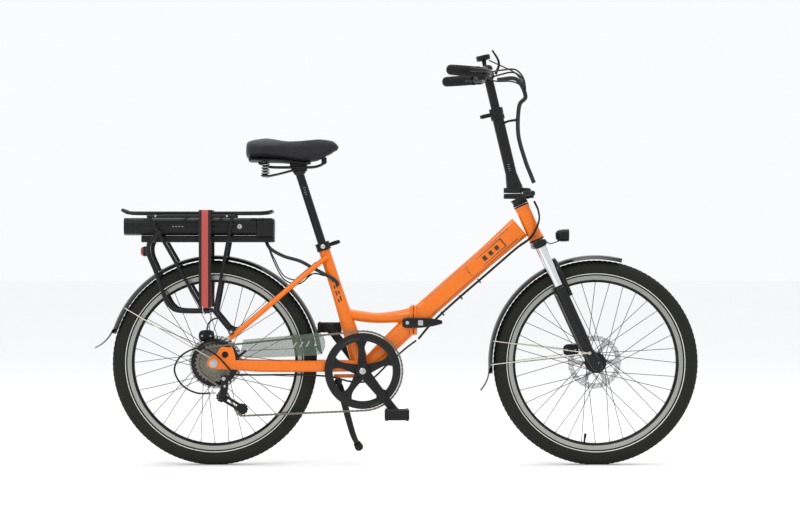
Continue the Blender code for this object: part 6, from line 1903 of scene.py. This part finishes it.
    def derailleur(self) -> None:
        """Build the cage with its slots, the two guide wheels with teeth, and the body on its hanger."""
        bench = self.bench
        a, b = np.array(self.guide), np.array(self.tension)
        way = unit(b - a)
        square = np.array([-way[1], way[0]])
        turn = np.linspace(0, math.pi, 13)
        end_arc = b + (np.sin(turn)[:, None] * way + np.cos(turn)[:, None] * square) * 10.5
        start_arc = a - (np.sin(turn)[:, None] * way + np.cos(turn)[:, None] * square) * 10.5
        outline = (np.vstack([end_arc, start_arc]) - [0, 0]) * MM
        slot_mid = (a + b) / 2
        slot = slot_mid + np.array([[-16, -3.4], [16, -3.4], [16, 3.4], [-16, 3.4]]) @ np.array([way, square])
        origin = np.array([bench.rear_axle[0], 0, 0])
        cages = [plate(outline, [slot * MM], 1.3, origin + Y * (self.plane + s * 5.7) * MM, 0.3) for s in (-1, 1)]
        wheels = []
        for spot in (a, b):
            angle = np.linspace(0, 2 * math.pi, 88, endpoint=False)
            edge = 16.4 + 1.6 * np.clip(np.cos(11 * angle), -0.7, 0.7)
            ring = np.column_stack([np.cos(angle), np.sin(angle)]) * edge[:, None] * MM
            place = bench.at(spot[0], spot[1], self.plane)
            wheels.append(plate(ring, [circle(3)], 3.2, place, 0.4))
            wheels.append(lathe([(0, 6.6), (3.4, 6.6), (4.4, 5.8), (4.4, -5.8), (3.4, -6.8), (0, -6.8)], place, Y, 30,
                                False))
        spots = [(22.8, 202.6, -51, 10, 10), (23, 206, -56, 11, 10.5), (30, 222, -68, 12, 11), (33, 238, -78, 11.4, 11),
                 (34, 248, -82, 11, 11), (31, 266, -84.5, 8.4, 9.4)]
        arm = loft(stations([bench.at(x, z, y) for x, z, y, _, _ in spots], [(w, d) for *_, w, d in spots], 3), 32, 8,
                   X, 1)
        dress("derailleur_body", [arm, *cages], ANODISED, "rear_frame", ("derailleur",), 32)
        dress("derailleur_wheels", wheels, HOUSING, "rear_frame", (), 30)
        heads = [bolt(bench.at(31, 258, -94), -Y, 5.6, 2.4), bolt(bench.at(34, 236, -92), -Y, 3.6, 2.0)]
        dress("derailleur_bolts", heads, ZINC, "rear_frame")

    def ring(self) -> None:
        """Cut the toothed chainring and the chain-guard disc with its ring of round windows."""
        centre = self.bench.bracket
        outline = self.teeth(self.ring_teeth, 2.4) * (1 - 4.6 / self.reach(self.ring_teeth))
        holes = [circle(95, steps=90)]
        dress("chainring_plate", plate(outline, holes, 2.4, centre + Y * self.plane * MM, 0.3), ANODISED, "crankset",
              ("chainring",), 30)
        guard = [(112.5, -1.4), (112.5, 0.8), (111, 1.4), (106, 1.4), (105, 0.8), (98, 0.8), (97, 1.3), (91, 1.3),
                 (88.5, 0.8), (88.5, -1.2)]
        disc = lathe([(r, -51.0 + -h) for r, h in guard], centre, Y, 160)
        dress("chain_guard_disc", disc, GUARD_SHEET, "crankset", ("chain_guard_ring",), 24)

    def crank(self, side: int) -> None:
        """Forge a crank arm with its eye and spindle boss; the drive side has a spider."""
        bench = self.bench
        word = "right" if side < 0 else "left"
        angle = self.crank_angle if side < 0 else self.crank_angle + math.pi
        way = X * math.cos(angle) + Z * math.sin(angle)
        root = bench.bracket
        rows = [(-0.13, 62.5, 6, 12), (-0.06, 62.5, 6.4, 17), (0.02, 62.5, 6.6, 19), (0.14, 63.6, 6.4, 16.6),
                (0.5, 68, 6.2, 13.8),
                (0.86, 72.6, 6.2, 12.4), (0.96, 74.2, 6.5, 13.4), (1.02, 74.8, 6.4, 12.8), (1.07, 75, 6, 8)]
        points = [root + way * share * self.crank_length * MM + Y * side * y * MM for share, y, _, _ in rows]
        skins = [loft(stations(points, [(w, d) for _, _, w, d in rows], 3.2), 40, 8, Y, 0.8)]
        end = root + way * self.crank_length * MM
        skins.append(tube(np.linspace(end + Y * side * 76 * MM, end + Y * side * 165 * MM, 4), 4.5, 20))
        if side > 0:
            skins.append(tube(np.linspace(root - Y * 68 * MM, root + Y * 63 * MM, 4), 7.9, 30))
        else:
            skins.append(lathe([(8.8, -46.4), (24, -46.4), (24, -58), (21, -62), (8.8, -63.6)], root, Y, 60))
            for k in range(5):
                turn = self.crank_angle + 2 * math.pi * k / 5
                out = X * math.cos(turn) + Z * math.sin(turn)
                spots = [root + out * r * MM - Y * 48.4 * MM for r in (14, 38, 62, 76, 93)]
                skins.append(loft(stations(spots, [(1.9, 16), (1.9, 12), (1.8, 9.6), (1.6, 12), (1.4, 22)], 4), 28, 6,
                                  Y, 0.4))
        dress(f"{word}_crank_arm", skins, SATIN_BLACK, "crankset", (f"{word}_crank",), 32)
        cap = lathe([(0, 2.6), (7, 2.2), (9.4, 0.8), (9.4, -1), (0, -1)], root + Y * side * 69 * MM, Y * side, 36,
                    False)
        dress(f"{word}_crank_cap", cap, ZINC, "crankset")
        if side < 0:
            heads = [bolt(root + (X * math.cos(t) + Z * math.sin(t)) * 96 * MM - Y * 52.4 * MM, -Y, 3.2, 0.8)
                     for t in self.crank_angle + 2 * math.pi * np.arange(5) / 5]
            dress("chainring_bolts", heads, ANODISED, "crankset")

    def pedal(self, side: int) -> None:
        """Mould the platform pedal: a cage of two plates and ribs round an axle sleeve, with reflectors."""
        word = "right" if side < 0 else "left"
        angle = self.crank_angle if side < 0 else self.crank_angle + math.pi
        end = self.bench.bracket + (X * math.cos(angle) + Z * math.sin(angle)) * self.crank_length * MM
        middle = end + Y * side * 128.5 * MM
        skins = []
        for lead in (-1, 1):
            skins.append(box(middle + X * lead * 30.5 * MM, [16.6, 4.4, 44.5], 5, 2, Y, Z))
            for k in range(6):
                spot = middle + X * lead * 31.5 * MM + Y * (k - 2.5) * 14 * MM
                skins.append(box(spot, [4.6, 3.0, 12.9], 5, 0.6, Z, X))
        for k in (-42, -21, 0, 21, 42):
            skins.append(box(middle + Y * k * MM, [3.0 if abs(k) < 42 else 2.4, 14.6, 30], 5, 1, X, Y))
        skins.append(lathe([(5.3, -44.6), (9.4, -44.6), (10.4, -40), (9.6, 0), (10.4, 40), (9.4, 44.6), (5.3, 44.6)],
                           middle, Y, 40))
        dress(f"{word}_pedal_cage", skins, MOULDED, f"{word}_pedal", (f"{word}_pedal",), 34)
        tiles = [box(middle + X * lead * 34.4 * MM, [8.0, 0.8, 24], 5, 0.3, Y, Z) for lead in (-1, 1)]
        dress(f"{word}_pedal_reflectors", tiles, REFLECTOR, f"{word}_pedal", (), 34)

    def cover(self) -> None:
        """Hang a smoked plate outside the chain's upper run, with a row of pale slanting bars on it."""
        outline = np.array([(78, 330), (86, 366), (100, 372.6), (250, 386), (300, 391), (318, 388), (328, 366),
                            (324, 340),
                            (300, 326), (180, 320), (96, 318)], float)
        ring = curve(np.vstack([outline, outline[:1]]), 6)[:-1] * MM
        place = np.array([self.bench.rear_axle[0], -53.5 * MM, 0])
        sheet = plate(ring, [], 1.8, place, 0.4)
        dress("chain_cover", sheet, SMOKED, "rear_frame", (), 34)
        bars = []
        for k in range(9):
            x = 118 + k * 19
            z = 349 + k * 1.2
            quad = np.array([(x, z - 8), (x + 4.5, z - 8), (x + 14, z + 8), (x + 9.5, z + 8)], float) * MM
            bars.append(plate(quad, [], 0.5, place - Y * 1.2 * MM, 0.1))
        dress("chain_cover_bars", bars, PALE_DECAL, "rear_frame", (), 34)
        arms = [pole(self.bench.at(300, 356, -53), self.bench.at(318, 330, -30), 3.0, 0.8),
                pole(self.bench.at(96, 340, -53), self.bench.at(70, 320, -60), 3.0, 0.8)]
        dress("chain_cover_arms", arms, SHELL, "rear_frame")
        heads = [bolt(self.bench.at(x, z, -54.4), -Y, 3.4, 1.6) for x, z in ((300, 356), (98, 342))]
        dress("chain_cover_screws", heads, ZINC, "rear_frame")


# ---- Cables ---------------------------------------------------------------------------------


@dataclass
class Cables:
    """Every cable along its clipped route, and the stays that hold the guards."""

    bench: Bench

    def build(self) -> None:
        """Make the cables, the power lead and the guards' stays."""
        self.cockpit_cables()
        self.beam_cables()
        self.rear_cables()
        self.power_lead()
        self.stays()

    def strand(self, name: str, spots: Array, radius: float, body: str, node: tuple[str, ...] = (),
               finish: Finish = None) -> None:
        """Carry one cable's round section along a smooth curve through its spots."""
        dress(name, tube(curve(spots, 10), radius, 14, 0.6), finish or HOUSING, body, node, 50)

    def cockpit_cables(self) -> None:
        """Gather four cables from the levers and the display into a sleeve ahead of the post."""
        bench = self.bench
        cockpit = Cockpit(bench)
        stem = bench.stem
        main = np.array([stem(250, 0, 70), stem(170, 0, 48), stem(90, 0, 50), stem(45, 0, 56), stem(18, 0, 60)])
        top = np.array([cockpit.beside(28, -10, -12), cockpit.beside(85, 0, -10), cockpit.beside(112, 0, -60)])
        self.strand("cable_sleeve", np.vstack([top, main]), 6.2, "stem", ("stem_cables",), SLEEVE)
        for word, side in (("left", 1), ("right", -1)):
            spots = np.array([cockpit.along_grip(side, -30, 18), cockpit.beside(38, side * 112, 10),
                              cockpit.beside(80, side * 62, 14),
                              cockpit.beside(106, side * 22, -12), cockpit.beside(113, side * 5, -62)])
            self.strand(f"brake_cable_{word}", spots, 2.6, "handlebar")
        spots = np.array([cockpit.along_grip(-1, -34, -6, -12), cockpit.beside(20, -104, -22),
                          cockpit.beside(70, -52, -20),
                          cockpit.beside(102, -14, -34), cockpit.beside(114, -4, -66)])
        self.strand("shifter_cable", spots, 2.3, "handlebar")
        spots = np.array([cockpit.beside(6, 56, 50), cockpit.beside(40, 52, 34), cockpit.beside(84, 34, 10),
                          cockpit.beside(108, 10, -30), cockpit.beside(115, 2, -70)])
        self.strand("display_cable", spots, 2.0, "handlebar")
        rows = [(stem(212, 0, 13), 7, 4), (stem(214, 0, 30), 5.4, 3.4), (stem(212, 0, 52), 7, 4)]
        clip = loft(stations([p for p, _, _ in rows], [(w, d) for _, w, d in rows], 3), 28, 6, Y, 1)
        dress("cable_clip", clip, SHELL, "stem")

    def beam_cables(self) -> None:
        """Run three cables side by side from the head down under the beam to the hinge."""
        top = self.bench.steer(517.5)
        low = self.bench.at
        line = [top + np.array([39.2, 0, 12]) * MM, top + np.array([51.2, -6, -16]) * MM,
                top + np.array([51.2, -24, -50]) * MM,
                top + np.array([27.2, -30, -95]) * MM, top + np.array([-13.8, -12, -127]) * MM, low(820, 578, -6),
                low(700, 474, -6), low(640, 416, -10), low(604, 374, -16)]
        for k, shift in enumerate((-3.4, 0.2, 3.6)):
            offset = np.array([0, shift, (0.0, -2.6, 0.0)[k]]) * MM
            node = ("down_tube_cables",) if k == 0 else ()
            self.strand(f"beam_cable_{k + 1}", np.array(line) + offset, 2.5, "front_frame", node)
        ties = []
        for share in (0.2, 0.5, 0.8):
            spot = low(640 + 180 * share, 416 + 162 * share - 1, -6)
            way = unit(np.array([180, 0, 162]))
            ties.append(lathe([(5.8, 2.2), (7.6, 2.2), (7.6, -2.2), (5.8, -2.2)], spot, way, 30))
        dress("beam_cable_ties", ties, SHELL, "front_frame")

    def rear_cables(self) -> None:
        """Run the gear cable under the bracket and along the stay to its loop behind the derailleur."""
        run = self.bench.run((597.5, 368, -17), (566, 345, -30), (515, 300, -32), (460, 251, -30), (405, 247, -30),
                             (340, 262, -35.5), (240, 268, -50), (110, 268, -64), (62, 274, -84), (10, 326, -88),
                             (-40, 348, -88),
                             (-92, 327, -88), (-114, 285, -88), (-92, 240, -88), (-48, 216, -88), (5, 216, -88))
        self.strand("gear_cable", run, 2.7, "rear_frame", ("rear_cables",))
        ferrule = tube(np.array([run[-1] - X * 14 * MM, run[-1] - X * 2 * MM, run[-1] + X * 2 * MM]), [3.4, 3.4, 2.2],
                       16)
        dress("gear_cable_ferrule", ferrule, ZINC, "rear_frame")
        brake = self.bench.run((-28, 392, 46), (-20, 420, 52), (10, 432, 58), (70, 404, 56), (140, 456, 50),
                               (235, 545, 42),
                               (300, 600, 28))
        self.strand("rear_brake_cable", brake, 2.4, "rear_frame")

    def power_lead(self) -> None:
        """Drop the battery's sleeved lead from the dock's front to the seat tube, beside two thin loops."""
        seat = self.bench.seat
        spots = np.vstack([self.bench.run((152, 662, -14), (166, 640, -24), (205, 618, -30), (252, 604, -30),
                                          (288, 585, -27)),
                           [seat(282, -23, 2), seat(262, -22, 8)]])
        self.strand("power_lead", spots, 5.2, "rear_frame", (), SLEEVE)
        for k in range(2):
            loop = self.bench.run((152, 662, -2 + 8 * k), (176, 612 - 12 * k, -18 + 12 * k), (206, 560 - 10 * k, -30),
                                  (250, 548 - 12 * k, -36), (292, 566, -30), (326, 560, -24))
            self.strand(f"sensor_lead_{k + 1}", loop, 1.9, "rear_frame")

    def stays(self) -> None:
        """Bend the guards' wire stays from their clips on the guard to the frame and the fork."""
        bench = self.bench
        skins = []
        for side in (-1, 1):
            end = bench.steer(38, side * 84, 0)
            for angle in (168.0, 181.0):
                turn = math.radians(angle)
                clip = bench.front_axle + (X * math.cos(turn) + Z * math.sin(turn)) * 312 * MM + Y * side * 31.5 * MM
                path = [clip, clip * 0.93 + end * 0.07 + Y * side * 3 * MM, clip * 0.5 + end * 0.5, end]
                skins.append(tube(curve(np.array(path), 6), 1.5, 12, 0.5))
        dress("front_guard_stays", skins, STAY_WIRE, "fork_lowers")
        eyes = [lathe([(0, 3.6), (4.6, 3.6), (5.2, 2.4), (5.2, -15), (0, -15)], bench.steer(38, s * 86, 0), Y * s, 24,
                      False) for s in (-1, 1)]
        dress("front_stay_screws", eyes, ZINC, "fork_lowers")
        rear = []
        for side in (-1, 1):
            turn = math.radians(148.5)
            clip = bench.rear_axle + (X * math.cos(turn) + Z * math.sin(turn)) * 312 * MM + Y * side * 31.5 * MM
            end = bench.at(-8, 318, side * 82)
            path = [clip, clip * 0.93 + end * 0.07 + Y * side * 4 * MM, clip * 0.5 + end * 0.5 + Y * side * 9 * MM, end]
            rear.append(tube(curve(np.array(path), 6), 1.6, 12, 0.5))
        dress("rear_guard_stays", rear, STAY_WIRE, "rear_frame")


# ---- Studio ---------------------------------------------------------------------------------


@dataclass
class Studio:
    """The plain floor, the soft lights and the camera."""

    centre: tuple[float, float, float] = (-0.038, -8.35, 0.62)
    lens: float = 126.5

    def build(self) -> None:
        """Set the stage."""
        scene = bpy.context.scene
        scene.view_settings.view_transform = "Standard"
        scene.view_settings.look = "None"
        self.floor()
        self.world(scene)
        self.light("key", (-2.2, -3.6, 4.4), (0, 0, 0.5), 2.2, 85)
        self.light("top", (0.4, 0.4, 4.6), (0, 0, 0.4), 3.0, 70)
        camera = bpy.data.cameras.new("camera")
        camera.lens, camera.sensor_width, camera.shift_x = self.lens, 36.0, 0.021
        holder = bpy.data.objects.new("camera", camera)
        holder.location = self.centre
        holder.rotation_euler = (math.radians(90), 0, 0)
        scene.collection.objects.link(holder)
        scene.camera = holder

    def floor(self) -> None:
        """Lay a wide pale floor, flat, a hair under the tyres."""
        rows = np.array([[(x, y, -0.0005) for x in (-60.0, 60.0)] for y in (-60.0, 0.0, 60.0)])
        count = len(rows)
        i = np.arange(count - 1)[:, None] * 2
        mesh = bpy.data.meshes.new("floor")
        mesh.from_pydata(rows.reshape(-1, 3), [], np.hstack([i, i + 1, i + 3, i + 2]).tolist())
        mesh.shade_smooth()
        mesh.materials.append(FLOOR.build())
        floor = bpy.data.objects.new("floor", mesh)
        bpy.context.scene.collection.objects.link(floor)

    def world(self, scene: bpy.types.Scene) -> None:
        """Fill the room with even, near-white light."""
        world = bpy.data.worlds.new("studio")
        world.use_nodes = True
        background = world.node_tree.nodes["Background"]
        background.inputs["Color"].default_value = linear("f6f7f8")
        background.inputs["Strength"].default_value = 1.04
        scene.world = world

    def light(self, name: str, spot: tuple[float, ...], aim: tuple[float, ...], size: float, power: float) -> None:
        """Hang one square soft box and aim it."""
        lamp = bpy.data.lights.new(name, "AREA")
        lamp.shape, lamp.size, lamp.energy = "SQUARE", size, power
        holder = bpy.data.objects.new(name, lamp)
        holder.location = spot
        way = np.array(spot) - aim
        flat = math.hypot(way[0], way[1])
        holder.rotation_euler = (math.atan2(flat, way[2]), 0, math.atan2(way[0], -way[1]))
        bpy.context.scene.collection.objects.link(holder)


# ---- Putting it together --------------------------------------------------------------------


def record_size() -> None:
    """Bring the view layer up to date.
    """
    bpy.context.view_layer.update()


def main() -> None:
    """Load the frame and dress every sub-assembly."""
    logging.basicConfig(level=logging.INFO, format="%(name)s: %(message)s")
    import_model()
    bench = Bench.measured()
    Studio().build()
    for end in End:
        Wheel(bench, end).build()
        Guard(bench, end).build()
    caliper_at("rear_caliper", *(np.array(c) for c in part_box("rear_brake_caliper")), "rear_frame", "rear_brake_caliper")
    for assembly in (Fork, RearFrame, FrontFrame, Cockpit, Saddle, Rack, DriveTrain, Cables):
        log.info("building %s", assembly.__name__)
        assembly(bench).build()
    record_size()


if __name__ == "__main__":
    main()
